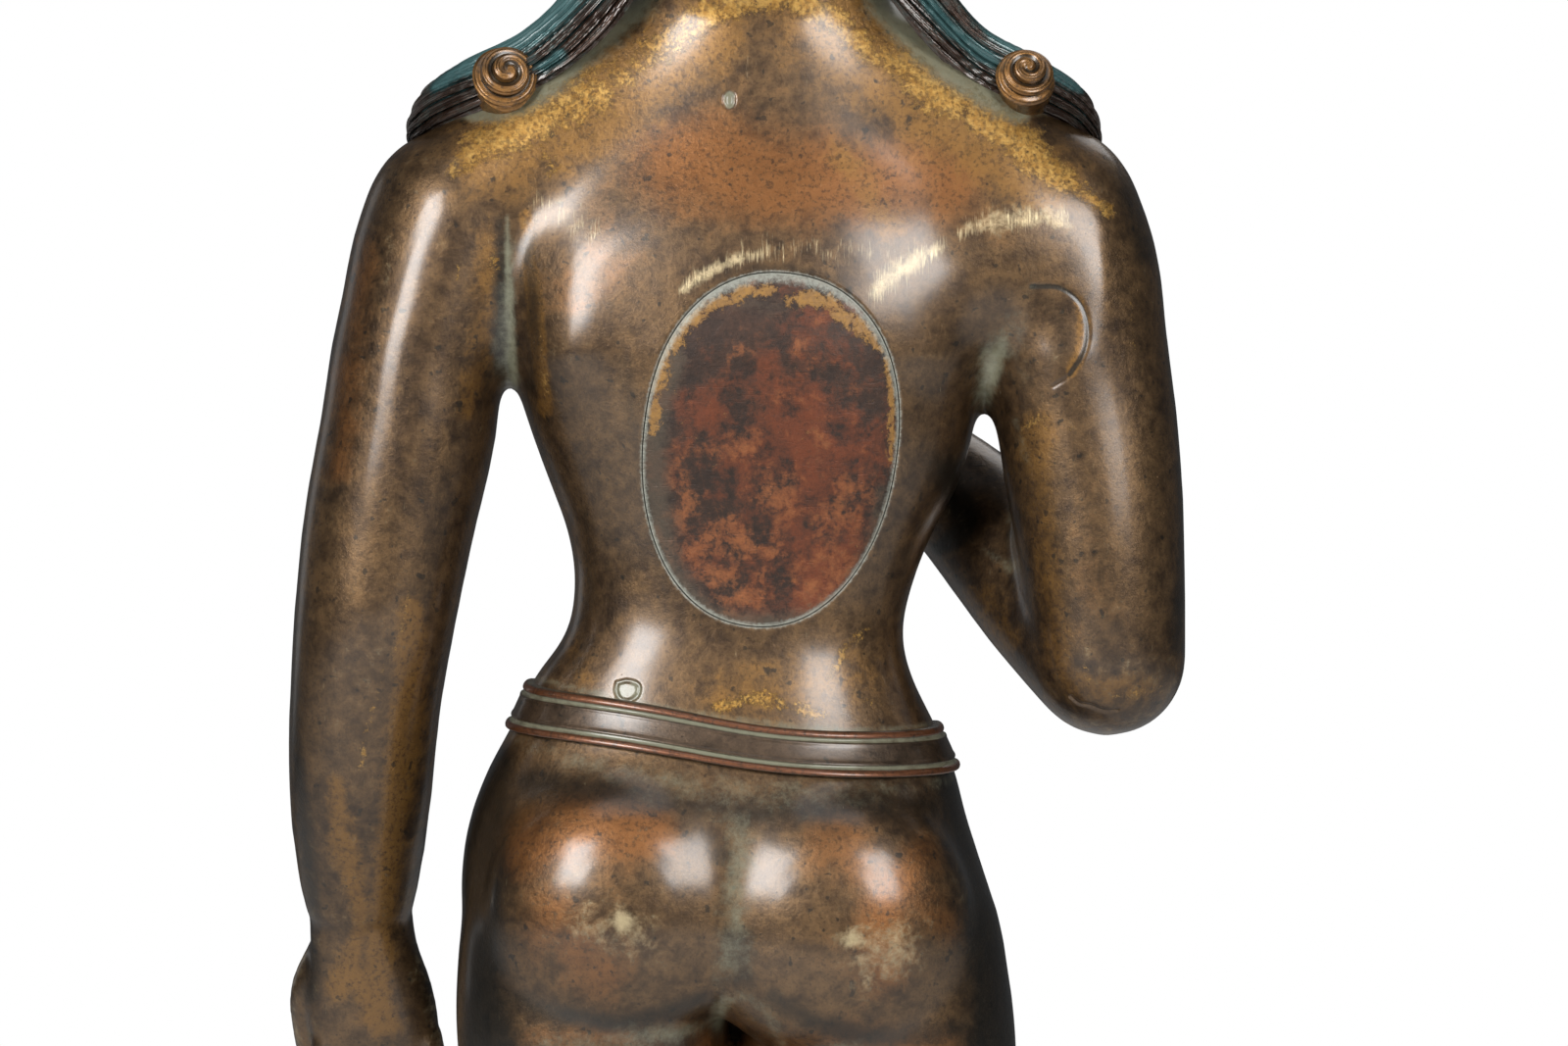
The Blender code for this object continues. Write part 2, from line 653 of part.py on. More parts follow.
def pleated_fall():
    """The garment's pleated end, which hangs in front between the legs and closes the gap there."""
    rows = smooth_rows(
        [  # height, middle x, front y, half width
            (67.5, 0.4, -6.6, 1.3),
            (60.0, 0.2, -6.4, 1.8),
            (50.0, -0.2, -6.3, 2.2),
            (38.0, -0.8, -5.6, 2.7),
            (24.0, -1.2, -4.6, 3.2),
            (10.0, -1.4, -3.8, 3.6),
            (7.6, -1.4, -3.7, 3.7),
        ],
        9,
    )
    pleats = 5
    steps = 2 * pleats + 1
    rings = []
    for z, middle, front, half in rows:
        x = middle + half * np.linspace(-1, 1, steps)
        fold = 0.42 * (np.arange(steps) % 2)
        edge = np.stack([x, front + fold, z - 1.0 * (np.arange(steps) % 2) * (z < 8)], axis=1)
        back = np.stack([x[::-1], np.full(steps, front + 2.6), np.full(steps, z)], axis=1)
        rings.append(np.concatenate([edge, back]))
    return np.array(rings)


def clasp():
    return ellipsoid((0.4, -6.5, 68.2), (1.5, 1.1, 1.5), 14, 7)


# Assembly of the figure


def figure():
    """The whole figure as one closed casting."""
    body = [trunk(), *trunk_swells(), *shoulders(), left_arm(), *right_arm(), *legs()]
    left_hand = hand((17.35, -3.7, 59.8), (-0.07, -0.22, -1), (0, 1, -0.2), False)
    right_hand = hand((-7.5, -9.9, 82.3), (0.10, -0.18, 1), (0, 1, 0.2), True)
    statue = fused("figure", body, BODY_CLAY)
    parts = [
        fused("head", [head(), *ears(), *topknot(), *tiara()], HEAD_CLAY),
        fused("left_hand", left_hand, HAND_CLAY),
        fused("right_hand", right_hand, HAND_CLAY),
        *[fused("foot", foot(*ankle), FOOT_CLAY) for ankle in FEET],
        *[mesh_object("tress", [tress]) for tress in tresses()],
        *[mesh_object("curl", [curl(place[:3], place[3])]) for place in CURLS],
        mesh_object("pleats", [pleated_fall()]),
        mesh_object("clasp", [clasp()]),
        belt(),
    ]
    for part in parts:
        combine(statue, part, "UNION")
    level_soles(statue)
    return statue


def level_soles(obj):
    bm = bmesh.new()
    bm.from_mesh(obj.data)
    everything = bm.verts[:] + bm.edges[:] + bm.faces[:]
    cut = bmesh.ops.bisect_plane(
        bm, geom=everything, plane_co=(0, 0, SOLE_HEIGHT), plane_no=(0, 0, -1), clear_outer=True
    )
    edges = [e for e in cut["geom_cut"] if isinstance(e, bmesh.types.BMEdge)]
    bmesh.ops.holes_fill(bm, edges=edges, sides=0)
    bmesh.ops.triangulate(bm, faces=bm.faces)
    bmesh.ops.recalc_face_normals(bm, faces=bm.faces)
    bm.to_mesh(obj.data)
    bm.free()


# Back plate


def oval_prism(name, grow):
    """An oval prism through the back alone, grown all round by grow metres."""
    turn = np.linspace(0, 2 * math.pi, 44, endpoint=False)
    half_w, half_h = PLATE_WIDTH / 2 + grow, PLATE_HEIGHT / 2 + grow
    x = half_w * np.sign(np.cos(turn)) * np.abs(np.cos(turn)) ** 0.92
    z = half_h * np.sign(np.sin(turn)) * np.abs(np.sin(turn)) ** 0.92
    x = x * (1 + 0.05 * np.sin(turn))
    cos, sin = math.cos(PLATE_LEAN), math.sin(PLATE_LEAN)
    across = (x * cos - z * sin) / FINGER + PLATE_MIDDLE[0]
    up = (x * sin + z * cos) / FINGER + PLATE_MIDDLE[1]
    loops = [np.stack([across, np.full_like(across, y), up], axis=1) for y in (0.0, 12.0)]
    return mesh_object(name, [loops])


def let_in_plate(statue):
    """Cuts the opening into the back and fills it with a plate that carries on the back's curve."""
    plate = copy_of(statue, "back_plate")
    combine(plate, oval_prism("plate_outline", 0.0), "INTERSECT")
    combine(plate, mesh_object("plate_core", [trunk(PLATE_THICKNESS / FINGER, 22)]), "DIFFERENCE")
    opening = oval_prism("opening", PLATE_GAP)
    core = mesh_object("opening_core", [trunk((PLATE_THICKNESS + PLATE_GAP) / FINGER, 22)])
    combine(opening, core, "DIFFERENCE")
    combine(statue, opening, "DIFFERENCE")
    return plate


# Lotus base


def base_outline(turn, grow):
    """The base's plan in fingers: an oval round both feet, grown by grow metres."""
    left = max(x for x, _, _ in FEET) + 3.2
    right = min(x for x, _, _ in FEET) - 4.8
    half_x = 0.5 * (left - right) + (BASE_MARGIN + grow) / FINGER
    half_y = 8.6 + (BASE_MARGIN + grow) / FINGER
    return np.stack([half_x * np.cos(turn), half_y * np.sin(turn)], axis=1)


BASE_SHIFT = (-0.6, -4.0)  # fingers, from the figure's axis to the base's middle
PETALS = 14


def lotus_base():
    """An oval seed pod over a ring of petals that turn down and out."""
    sides = 4 * PETALS
    turn = np.linspace(0, 2 * math.pi, sides, endpoint=False)
    lobe = np.abs(np.cos(turn * PETALS / 2)) ** 0.7
    rows = [  # share of the height, share of the flare, share of the petal's lobe
        (0.0, 0.72, 0.0),
        (0.10, 0.80, 0.1),
        (0.22, 1.0, 1.0),
        (0.42, 0.92, 1.0),
        (0.60, 0.55, 0.7),
        (0.72, 0.05, 0.0),
        (0.78, 0.05, 0.0),
        (0.84, 0.28, 0.0),
        (0.94, 0.30, 0.0),
        (1.0, 0.0, 0.0),
    ]
    loops = []
    for height, flare, lobed in rows:
        depth = 0.30 * BASE_FLARE * lobed
        plan = base_outline(turn, BASE_FLARE * flare) + (
            np.stack([np.cos(turn), np.sin(turn)], axis=1) * ((lobe - 1) * depth / FINGER)[:, None]
        )
        z = np.full(sides, (height * BASE_HEIGHT - SOLE_HEIGHT) / FINGER)
        loops.append(np.concatenate([plan, z[:, None]], axis=1))
    return mesh_object("lotus_base", [loops])


FIGURE_SHIFT = (-BASE_SHIFT[0], -BASE_SHIFT[1])


def main():
    clear_scene()
    statue = figure()
    plate = let_in_plate(statue)
    base = lotus_base()
    shift = Vector((FIGURE_SHIFT[0] * FINGER, FIGURE_SHIFT[1] * FINGER, 0))
    statue.location = shift
    plate.location = shift
    finish(statue, BRONZE, 0.35)
    finish(plate, PLATE_BRONZE, 0.4)
    finish(base, BASE_BRONZE, 0.45)


main()
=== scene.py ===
"""The looks of a standing guanyin in worn gilt bronze, seen from behind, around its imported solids.

Metres, +Z up; the figure faces -Y and its left side is +X. The figure's proportions count in
finger breadths, a share of its height, with heights measured up from the soles.
"""

import math

import bpy
import numpy as np
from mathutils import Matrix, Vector
from mathutils.bvhtree import BVHTree


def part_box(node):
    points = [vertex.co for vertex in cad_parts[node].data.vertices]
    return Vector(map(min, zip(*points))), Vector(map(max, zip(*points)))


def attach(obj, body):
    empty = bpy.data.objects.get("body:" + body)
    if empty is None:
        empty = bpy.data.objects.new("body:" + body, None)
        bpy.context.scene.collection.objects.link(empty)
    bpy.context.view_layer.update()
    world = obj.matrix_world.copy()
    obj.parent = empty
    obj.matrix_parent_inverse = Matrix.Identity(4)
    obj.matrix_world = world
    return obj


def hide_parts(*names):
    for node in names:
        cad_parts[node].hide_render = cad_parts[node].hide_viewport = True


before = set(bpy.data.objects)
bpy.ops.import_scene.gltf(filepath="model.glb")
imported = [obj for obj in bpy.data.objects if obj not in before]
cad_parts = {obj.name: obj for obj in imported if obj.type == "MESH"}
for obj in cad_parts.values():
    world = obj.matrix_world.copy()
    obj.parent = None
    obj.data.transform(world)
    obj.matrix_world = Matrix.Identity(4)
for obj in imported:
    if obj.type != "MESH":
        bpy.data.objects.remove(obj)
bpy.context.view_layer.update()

# Driving sizes, in metres
FIGURE_HEIGHT = 0.72  # soles to crown, below the topknot
FINGER = FIGURE_HEIGHT / 120
SOLE_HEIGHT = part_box("figure")[0].z
BASE_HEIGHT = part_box("lotus_base")[1].z
FIGURE_SHIFT = np.array([0.6, 4.0, 0.0]) * FINGER  # from the base's middle to the figure's axis

PLATE_WIDTH = 0.0680
PLATE_HEIGHT = 0.0950
PLATE_THICKNESS = 0.0040
PLATE_GAP = 0.0003
PLATE_LEAN = math.radians(7)
PLATE_MIDDLE = (-1.5, 81.6)  # fingers: across, and up from the soles
SEAM_GROOVE = (0.0006, 0.0004)  # reach and depth
SEAM_DIRT_REACH = 0.0010  # of the pale filler, on the skin beside the plate
PLATE_DIRT_REACH = (0.0012, 0.0022)  # of the same on the plate's edge, and how much more at its top
PLATE_DIRT_RISE = 7.5  # fingers from the plate's middle to where that reach is full
PLATE_RED_TOP = 3  # fingers above the plate's middle, where its red begins
PLATE_RED_RISE = 5  # fingers below that, where the red is full

BELT_HEIGHT = 0.0124
BELT_STAND = 0.0018

CHIN = 104.0  # fingers up from the soles
HEAD_MIDDLE = (-0.3, -0.4, CHIN)

# The photograph's frame, in its own pixels, and where the figure's axis and soles fall in it
PHOTO_WIDTH = 1600
PHOTO_HEIGHT = 1067
AXIS_PIXEL = 752
SOLE_PIXEL = 2286
PIXELS_PER_FINGER = 22.37
CAMERA_DISTANCE = 1.8

# Clay settings: the grid that masses are fused on, and how often the skin is softened
BODY_CLAY = (0.34 * FINGER, 22)
SKIN_CLAY = (0.20 * FINGER, 5)
HEAD_CLAY = (0.13 * FINGER, 2)


# Curves and rings, in fingers


def smooth_rows(rows, count):
    """Rows of numbers read evenly off one smooth curve through the given rows."""
    rows = np.asarray(rows, float)
    steps = np.linalg.norm(np.diff(rows[:, :3], axis=0), axis=1)
    at = np.concatenate([[0.0], np.cumsum(steps)])
    slopes = np.gradient(rows, at, axis=0)
    wanted = np.linspace(0.0, at[-1], count)
    k = np.clip(np.searchsorted(at, wanted) - 1, 0, len(at) - 2)
    span = (at[k + 1] - at[k])[:, None]
    t = ((wanted - at[k]) / (at[k + 1] - at[k]))[:, None]
    start = (2 * t**3 - 3 * t**2 + 1) * rows[k] + (t**3 - 2 * t**2 + t) * span * slopes[k]
    end = (3 * t**2 - 2 * t**3) * rows[k + 1] + (t**3 - t**2) * span * slopes[k + 1]
    return start + end


def unit_rows(vectors):
    return vectors / np.linalg.norm(vectors, axis=1, keepdims=True)


def limb(rows, facing=(0, 1, 0), sides=24, count=26, round_end=True):
    """Rings of a tapering limb. A row is x, y, z, half width and half depth; depth is along facing."""
    path = smooth_rows(rows, count)
    along = unit_rows(np.gradient(path[:, :3], axis=0))
    side = unit_rows(np.cross(along, facing))
    depth = np.cross(side, along)
    turn = np.linspace(0, 2 * math.pi, sides, endpoint=False)
    ring = np.cos(turn)[:, None, None] * (side * path[:, 3:4]) + np.sin(turn)[:, None, None] * (
        depth * path[:, 4:5]
    )
    rings = list(np.swapaxes(ring, 0, 1) + path[:, None, :3])
    cap_turns = np.radians([15, 30, 45, 60, 75])
    for end, sign in ((0, -1), (-1, 1)) if round_end else ((0, -1),):
        middle = path[end, :3]
        reach = along[end] * sign * 0.5 * (path[end, 3] + path[end, 4])
        flat = rings[end] - middle
        domes = [middle + flat * math.cos(t) + reach * math.sin(t) for t in cap_turns]
        rings = domes[::-1] + rings if end == 0 else rings + domes
    return np.array(rings)


def ellipsoid(middle, radii, sides=24, count=17):
    """Rings of an upright ellipsoid."""
    tilt = np.linspace(-math.pi / 2, math.pi / 2, count + 2)[1:-1]
    turn = np.linspace(0, 2 * math.pi, sides, endpoint=False)
    x = np.cos(tilt)[:, None] * np.cos(turn) * radii[0]
    y = np.cos(tilt)[:, None] * np.sin(turn) * radii[1]
    z = np.sin(tilt)[:, None] * radii[2] + 0 * turn
    return np.stack([x, y, z], axis=2) + np.array(middle)


def upright_rings(rows, sides, count, inset=0.0, squareness=1.0):
    """Level rings. A row is height, middle x, half width, depth behind and depth in front."""
    rows = smooth_rows([(r[0], 0, 0, *r[1:]) for r in rows], count)
    turn = np.linspace(0, 2 * math.pi, sides, endpoint=False)
    cos, sin = np.cos(turn), np.sin(turn)
    across = np.sign(cos) * np.abs(cos) ** squareness
    deep = np.sign(sin) * np.abs(sin) ** squareness
    z, middle, half, behind, front = (rows[:, i : i + 1] for i in (0, 3, 4, 5, 6))
    x = middle + (half - inset) * across
    y = np.where(sin > 0, behind - inset, front - inset) * deep
    return np.stack([x, y, z + 0 * x], axis=2)


def placed(rings, turn, origin):
    """Rings made about their own origin, turned by three axes and set in place."""
    return np.asarray(rings) @ np.array(turn, float) + np.array(origin)


# Objects and modifiers


def to_metres(points):
    return np.asarray(points) * FINGER + FIGURE_SHIFT + np.array([0, 0, SOLE_HEIGHT])


def to_fingers(points):
    return (np.asarray(points) - FIGURE_SHIFT - np.array([0, 0, SOLE_HEIGHT])) / FINGER


def activate(obj):
    bpy.ops.object.select_all(action="DESELECT")
    obj.select_set(True)
    bpy.context.view_layer.objects.active = obj


def form(name, masses, closed_hoop=False):
    """An object of tubes through rings given in fingers, its faces pointing out."""
    verts = []
    faces = []
    for rings in masses:
        rings = to_metres(rings)
        loops, sides = rings.shape[:2]
        base = len(verts)
        verts.extend(map(tuple, rings.reshape(-1, 3)))
        spans = loops if closed_hoop else loops - 1
        for i in range(spans):
            low = base + i * sides
            high = base + (i + 1) % loops * sides
            for k in range(sides):
                after = (k + 1) % sides
                faces.append((low + k, low + after, high + after, high + k))
        if not closed_hoop:
            faces.append(tuple(range(base, base + sides))[::-1])
            faces.append(tuple(range(base + (loops - 1) * sides, base + loops * sides)))
    mesh = bpy.data.meshes.new(name)
    mesh.from_pydata(verts, [], faces)
    obj = bpy.data.objects.new(name, mesh)
    bpy.context.scene.collection.objects.link(obj)
    face_outwards(obj)
    return obj


def face_outwards(obj):
    activate(obj)
    bpy.ops.object.mode_set(mode="EDIT")
    bpy.ops.mesh.select_all(action="SELECT")
    bpy.ops.mesh.normals_make_consistent(inside=False)
    bpy.ops.object.mode_set(mode="OBJECT")


def apply_modifier(obj, kind, **settings):
    activate(obj)
    modifier = obj.modifiers.new(kind.title(), kind)
    for key, value in settings.items():
        setattr(modifier, key, value)
    bpy.ops.object.modifier_apply(modifier=modifier.name)


def fuse(obj, clay):
    """One skin round overlapping masses, softened where they meet."""
    grid, softening = clay
    apply_modifier(obj, "REMESH", mode="VOXEL", voxel_size=grid)
    apply_modifier(obj, "SMOOTH", factor=0.5, iterations=softening)


def join(obj, others):
    activate(obj)
    for other in others:
        other.select_set(True)
    bpy.ops.object.join()


def cut_away(obj, cutter):
    apply_modifier(obj, "BOOLEAN", operation="DIFFERENCE", solver="EXACT", object=cutter)
    bpy.data.objects.remove(cutter)


ARM_SIDE = 13.1  # fingers: below the belt, the left arm lies beyond this


def halve(obj, place, normal, beside_arm=False):
    """Cuts obj at a plane, given in metres, and closes the cut; what the normal points to goes."""
    if beside_arm:
        wanted = to_fingers(vertex_places(obj))[:, 0] < ARM_SIDE
    else:
        wanted = np.ones(len(obj.data.vertices), bool)
    select_points(obj, wanted)
    bpy.ops.object.mode_set(mode="EDIT")
    bpy.ops.mesh.bisect(plane_co=place, plane_no=normal, use_fill=True, clear_outer=True)
    bpy.ops.object.mode_set(mode="OBJECT")


def drop_left_arm(obj):
    """Deletes the left forearm and hand from the lower piece of skin; the upper piece keeps them."""
    select_points(obj, to_fingers(vertex_places(obj))[:, 0] > ARM_SIDE)
    bpy.ops.object.mode_set(mode="EDIT")
    bpy.ops.mesh.delete(type="VERT")
    bpy.ops.object.mode_set(mode="OBJECT")


def select_points(obj, wanted):
    """Selects the faces whose points are all wanted."""
    activate(obj)
    bpy.ops.object.mode_set(mode="EDIT")
    bpy.ops.mesh.select_mode(type="VERT")
    bpy.ops.mesh.select_all(action="DESELECT")
    bpy.ops.object.mode_set(mode="OBJECT")
    obj.data.vertices.foreach_set("select", wanted)
    bpy.ops.object.mode_set(mode="EDIT")
    bpy.ops.mesh.select_mode(type="VERT")
    bpy.ops.mesh.select_mode(type="FACE")
    bpy.ops.object.mode_set(mode="OBJECT")


def copy_of(obj, name):
    copy = bpy.data.objects.new(name, obj.data.copy())
    bpy.context.scene.collection.objects.link(copy)
    return copy


def vertex_places(obj):
    co = np.empty(len(obj.data.vertices) * 3)
    obj.data.vertices.foreach_get("co", co)
    return co.reshape(-1, 3)


def vertex_normals(obj):
    normals = np.empty(len(obj.data.vertices) * 3)
    obj.data.vertex_normals.foreach_get("vector", normals)
    return normals.reshape(-1, 3)


def move_vertices(obj, places):
    obj.data.vertices.foreach_set("co", places.ravel())
    obj.data.update()


# Body masses

TRUNK_SIDES = 44
TRUNK = [  # height, middle, half width, depth behind, depth in front
    (57.6, 0.3, 9.4, 4.6, 4.2),
    (59.0, 0.35, 11.4, 6.0, 4.9),
    (60.6, 0.4, 12.1, 6.7, 5.3),
    (62.9, 0.7, 11.85, 7.0, 5.6),
    (65.1, 0.85, 11.3, 6.6, 5.8),
    (67.3, 0.7, 10.6, 5.8, 5.9),
    (69.3, 0.6, 9.6, 5.1, 5.8),
    (71.4, 0.62, 8.6, 4.6, 5.4),
    (73.1, 0.18, 7.75, 4.4, 5.1),
    (75.4, -0.28, 7.7, 4.5, 5.0),
    (77.8, -0.6, 8.3, 4.9, 5.2),
    (80.3, -0.8, 9.4, 5.5, 5.6),
    (82.5, -0.7, 10.1, 6.0, 6.0),
    (84.5, -0.5, 10.55, 6.3, 6.2),
    (88.0, -0.6, 11.8, 6.5, 6.2),
    (91.2, -0.7, 11.8, 6.1, 5.6),
    (94.0, -0.7, 10.4, 5.2, 4.9),
    (97.0, -0.7, 8.0, 4.2, 4.4),
    (99.5, -0.7, 5.5, 3.6, 4.2),
]


def trunk(inset=0.0):
    return upright_rings(TRUNK, TRUNK_SIDES, count=60, inset=inset, squareness=0.86)


def trunk_swells():
    """The buttocks, shoulder blades, a fill at the right armpit and the breasts, as soft masses."""
    return [
        ellipsoid((4.9, 4.2, 61.2), (6.5, 4.0, 6.2)),
        ellipsoid((-4.1, 4.2, 60.6), (6.6, 4.0, 6.4)),
        ellipsoid((5.0, 1.0, 88.2), (5.7, 4.9, 7.2)),
        ellipsoid((-6.2, 1.0, 88.2), (5.7, 4.9, 7.2)),
        ellipsoid((-11.6, 0.6, 90.8), (4.8, 4.5, 5.2)),
        ellipsoid((4.4, -2.9, 88.0), (5.0, 4.0, 4.6)),
        ellipsoid((-5.4, -2.9, 88.0), (5.0, 4.0, 4.6)),
    ]


def shoulders():
    """The ridge from shoulder to shoulder behind the neck, and the neck."""
    ridge = [
        (12.2, 0.2, 92.2, 4.2, 4.2),
        (9.0, 0.0, 94.9, 4.2, 4.1),
        (5.0, -0.2, 97.0, 4.8, 4.0),
        (-0.7, 0.0, 98.0, 4.6, 4.4),
        (-6.4, -0.2, 97.2, 4.8, 4.0),
        (-10.4, 0.0, 95.3, 4.3, 4.1),
        (-13.8, 0.2, 92.3, 4.3, 4.3),
    ]
    neck = [
        (-0.9, 0.0, 96.5, 8.2, 4.1),
        (-0.9, 0.0, 99.5, 7.3, 3.9),
        (-0.9, 0.2, 102.2, 6.1, 4.0),
        (-0.6, 0.3, 104.8, 4.8, 4.6),
        (-0.3, 0.0, 107.0, 4.3, 4.5),
    ]
    return [limb(ridge), limb(neck)]


def left_arm():
    return limb(
        [
            (12.5, 0.2, 92.0, 4.6, 4.35),
            (13.3, 0.3, 90.0, 4.45, 4.35),
            (13.9, 0.4, 88.0, 4.2, 4.3),
            (14.6, 0.5, 85.5, 4.0, 4.2),
            (14.9, 0.6, 83.0, 4.05, 4.1),
            (15.8, 0.6, 78.5, 3.95, 3.95),
            (16.55, 0.4, 73.6, 3.7, 3.7),
            (17.0, -0.5, 70.0, 3.5, 3.45),
            (17.25, -1.5, 66.4, 3.35, 3.1),
            (17.4, -2.7, 62.9, 3.0, 2.5),
            (17.45, -3.6, 59.9, 2.45, 1.85),
        ],
        count=40,
        round_end=False,
    )


def right_arm():
    """The upper arm hangs; the forearm rises in front of the chest."""
    upper = [
        (-13.8, 0.2, 92.1, 4.7, 4.4),
        (-14.6, 0.3, 90.3, 4.55, 4.5),
        (-15.35, 0.4, 86.1, 4.35, 4.4),
        (-15.8, 0.5, 83.8, 4.2, 4.2),
        (-16.2, 0.6, 80.7, 4.1, 4.0),
        (-16.65, 0.6, 76.3, 3.8, 3.85),
        (-16.9, 0.3, 72.5, 3.6, 3.7),
    ]
    forearm = [
        (-16.9, 0.2, 72.2, 3.65, 3.6),
        (-14.6, -2.4, 74.6, 3.45, 3.3),
        (-11.2, -6.0, 78.65, 3.1, 2.9),
        (-8.6, -8.7, 81.2, 2.6, 2.3),
        (-7.6, -9.8, 82.4, 2.3, 1.85),
    ]
    return [limb(upper, count=34), limb(forearm, round_end=False)]


LEFT_LEG = [
    (6.5, 1.0, 60.0, 6.1, 5.6),
    (6.6, 0.6, 56.0, 6.25, 6.0),
    (6.1, 0.0, 50.0, 5.9, 6.0),
    (5.6, -0.4, 43.0, 5.2, 5.4),
    (5.1, -0.8, 36.0, 4.5, 4.8),
    (4.7, -1.0, 30.5, 4.0, 4.4),
    (4.5, -0.5, 25.0, 3.85, 4.1),
    (4.3, 0.2, 19.0, 3.7, 3.8),
    (4.1, 0.7, 13.0, 3.1, 3.2),
    (4.0, 1.0, 9.6, 2.9, 2.9),
    (4.0, 1.0, 8.0, 3.3, 3.3),
]
RIGHT_LEG = [
    (-6.2, 0.8, 59.0, 6.0, 5.6),
    (-6.5, 0.3, 55.0, 6.25, 6.0),
    (-6.8, -0.8, 49.0, 5.9, 6.0),
    (-7.2, -2.0, 42.5, 5.2, 5.5),
    (-7.4, -2.9, 36.0, 4.5, 4.9),
    (-7.5, -3.1, 30.5, 4.0, 4.5),
    (-7.4, -2.2, 25.0, 3.85, 4.1),
    (-7.2, -1.0, 19.0, 3.7, 3.8),
    (-7.0, -0.1, 13.0, 3.1, 3.2),
    (-6.9, 0.4, 9.6, 2.9, 2.9),
    (-6.9, 0.4, 8.0, 3.3, 3.3),
]


def legs():
    return [limb(rows, count=50, round_end=False) for rows in (LEFT_LEG, RIGHT_LEG)]


FEET = ((4.0, 1.0, 0.10), (-6.9, 0.4, -0.22))  # ankle x, ankle y, and how far the toes turn out


def foot(ankle_x, ankle_y, splay):
    """A bare foot, its toes towards -Y and turned out by splay, with the ankle above it."""
    sole = [
        (0, 3.6, 1.5, 1.4, 1.5),
        (0, 2.2, 2.0, 2.0, 2.2),
        (0, 0.0, 2.5, 2.1, 2.7),
        (0, -3.0, 2.2, 2.3, 2.4),
        (0, -6.0, 1.5, 2.7, 1.7),
        (0, -8.6, 1.0, 2.9, 1.2),
        (0, -9.8, 0.8, 2.7, 0.9),
    ]
    inner = -1 if splay > 0 else 1
    toes = [(1.95, 3.9, 0.95), (0.75, 3.6, 0.7), (-0.35, 3.2, 0.66), (-1.35, 2.6, 0.62), (-2.2, 1.9, 0.58)]
    shapes = [limb(sole, facing=(0, 0, 1), sides=32)]
    shapes.append(limb([(0, 0.2, 10.5, 2.2, 2.3), (0, 0.1, 6.5, 1.9, 2.2), (0, 0, 2.6, 2.1, 2.4)], count=10))
    for across, reach, radius in toes:
        x = inner * across
        rows = [
            (x, -8.6, 0.7, radius, radius),
            (x, -8.6 - reach * 0.6, 0.75, radius, radius * 0.95),
            (x, -8.6 - reach, 0.45, radius * 0.9, radius * 0.75),
        ]
        shapes.append(limb(rows, facing=(0, 0, 1), sides=16, count=12))
    cos, sin = math.cos(splay), math.sin(splay)
    turn = ((cos, sin, 0), (-sin, cos, 0), (0, 0, 1))
    return [placed(s, turn, (ankle_x, ankle_y, 0)) for s in shapes]


def hand(wrist, reach, back, curl_index):
    """A hand along reach from the wrist, its back facing back and its thumb towards +X."""
    reach = np.array(reach) / np.linalg.norm(reach)
    thumb_side = np.cross(back, reach)
    thumb_side *= math.copysign(1 / np.linalg.norm(thumb_side), thumb_side[0])
    normal = np.cross(reach, thumb_side)
    normal *= math.copysign(1, np.dot(normal, back))
    axes = (thumb_side, normal, reach)  # local x, y and z
    palm = [
        (0.0, 0.0, -1.0, 2.35, 1.9),
        (0.0, 0.0, 1.2, 2.5, 1.6),
        (-0.1, 0.0, 3.2, 2.9, 1.35),
        (-0.2, 0.0, 5.0, 3.0, 1.15),
        (-0.25, 0.0, 6.3, 2.9, 0.95),
    ]
    thumb = [
        (1.5, -0.5, 1.2, 1.1, 1.0),
        (2.5, -0.9, 3.3, 1.15, 1.0),
        (2.9, -1.5, 5.4, 0.85, 0.8),
        (2.8, -2.0, 7.4, 0.7, 0.6),
    ]
    fingers = [(2.05, 5.2, 0.80), (0.5, 6.0, 0.82), (-1.1, 5.6, 0.80), (-2.6, 4.5, 0.72)]
    shapes = [limb(palm, sides=32, count=20), limb(thumb, sides=20, count=18)]
    for number, (across, length, radius) in enumerate(fingers):
        bend = 0.35 + 0.25 * number
        rows = [
            (across, 0.0, 5.6, radius, radius),
            (across * 1.06, -0.2 * bend, 5.9 + length * 0.5, radius * 0.95, radius * 0.9),
            (across * 1.02, -bend, 5.9 + length, radius * 0.72, radius * 0.66),
        ]
        if number == 0 and curl_index:
            rows = [
                (across, 0.0, 5.6, radius, radius),
                (across + 0.3, -1.2, 7.6, radius * 0.95, radius * 0.95),
                (across + 0.6, -2.6, 8.2, radius * 0.85, radius * 0.85),
                (across + 0.75, -3.1, 7.4, radius * 0.75, radius * 0.75),
            ]
        shapes.append(limb(rows, sides=20, count=20))
    return [placed(s, axes, wrist) for s in shapes]


def belt_middle_height(across, behind):
    """The belt's height round the hips: it rises to the figure's left and dips behind and in front."""
    return 69.31 + 0.1 * across - 0.8 * behind


# The plane under the belt that parts the skin: x, height, and rise per finger across
BODY_CUT = (0.0, 68.35, 0.1)


def band(values, low, high, fade):
    """1 between low and high, and down to 0 over fade inside each."""
    return np.clip((values - low) / fade, 0, 1) * np.clip((high - values) / fade, 0, 1)


def neighbour_average(obj):
    """A call that averages numbers kept on obj's points with those of the points next to them."""
    edges = np.empty(len(obj.data.edges) * 2, int)
    obj.data.edges.foreach_get("vertices", edges)
    a, b = edges.reshape(-1, 2).T
    size = len(obj.data.vertices)
    count = np.maximum(np.bincount(a, minlength=size) + np.bincount(b, minlength=size), 1)

    def average(values):
        columns = [np.bincount(a, v[b], size) + np.bincount(b, v[a], size) for v in values.T]
        return np.stack(columns, axis=1) / count[:, None]

    return average


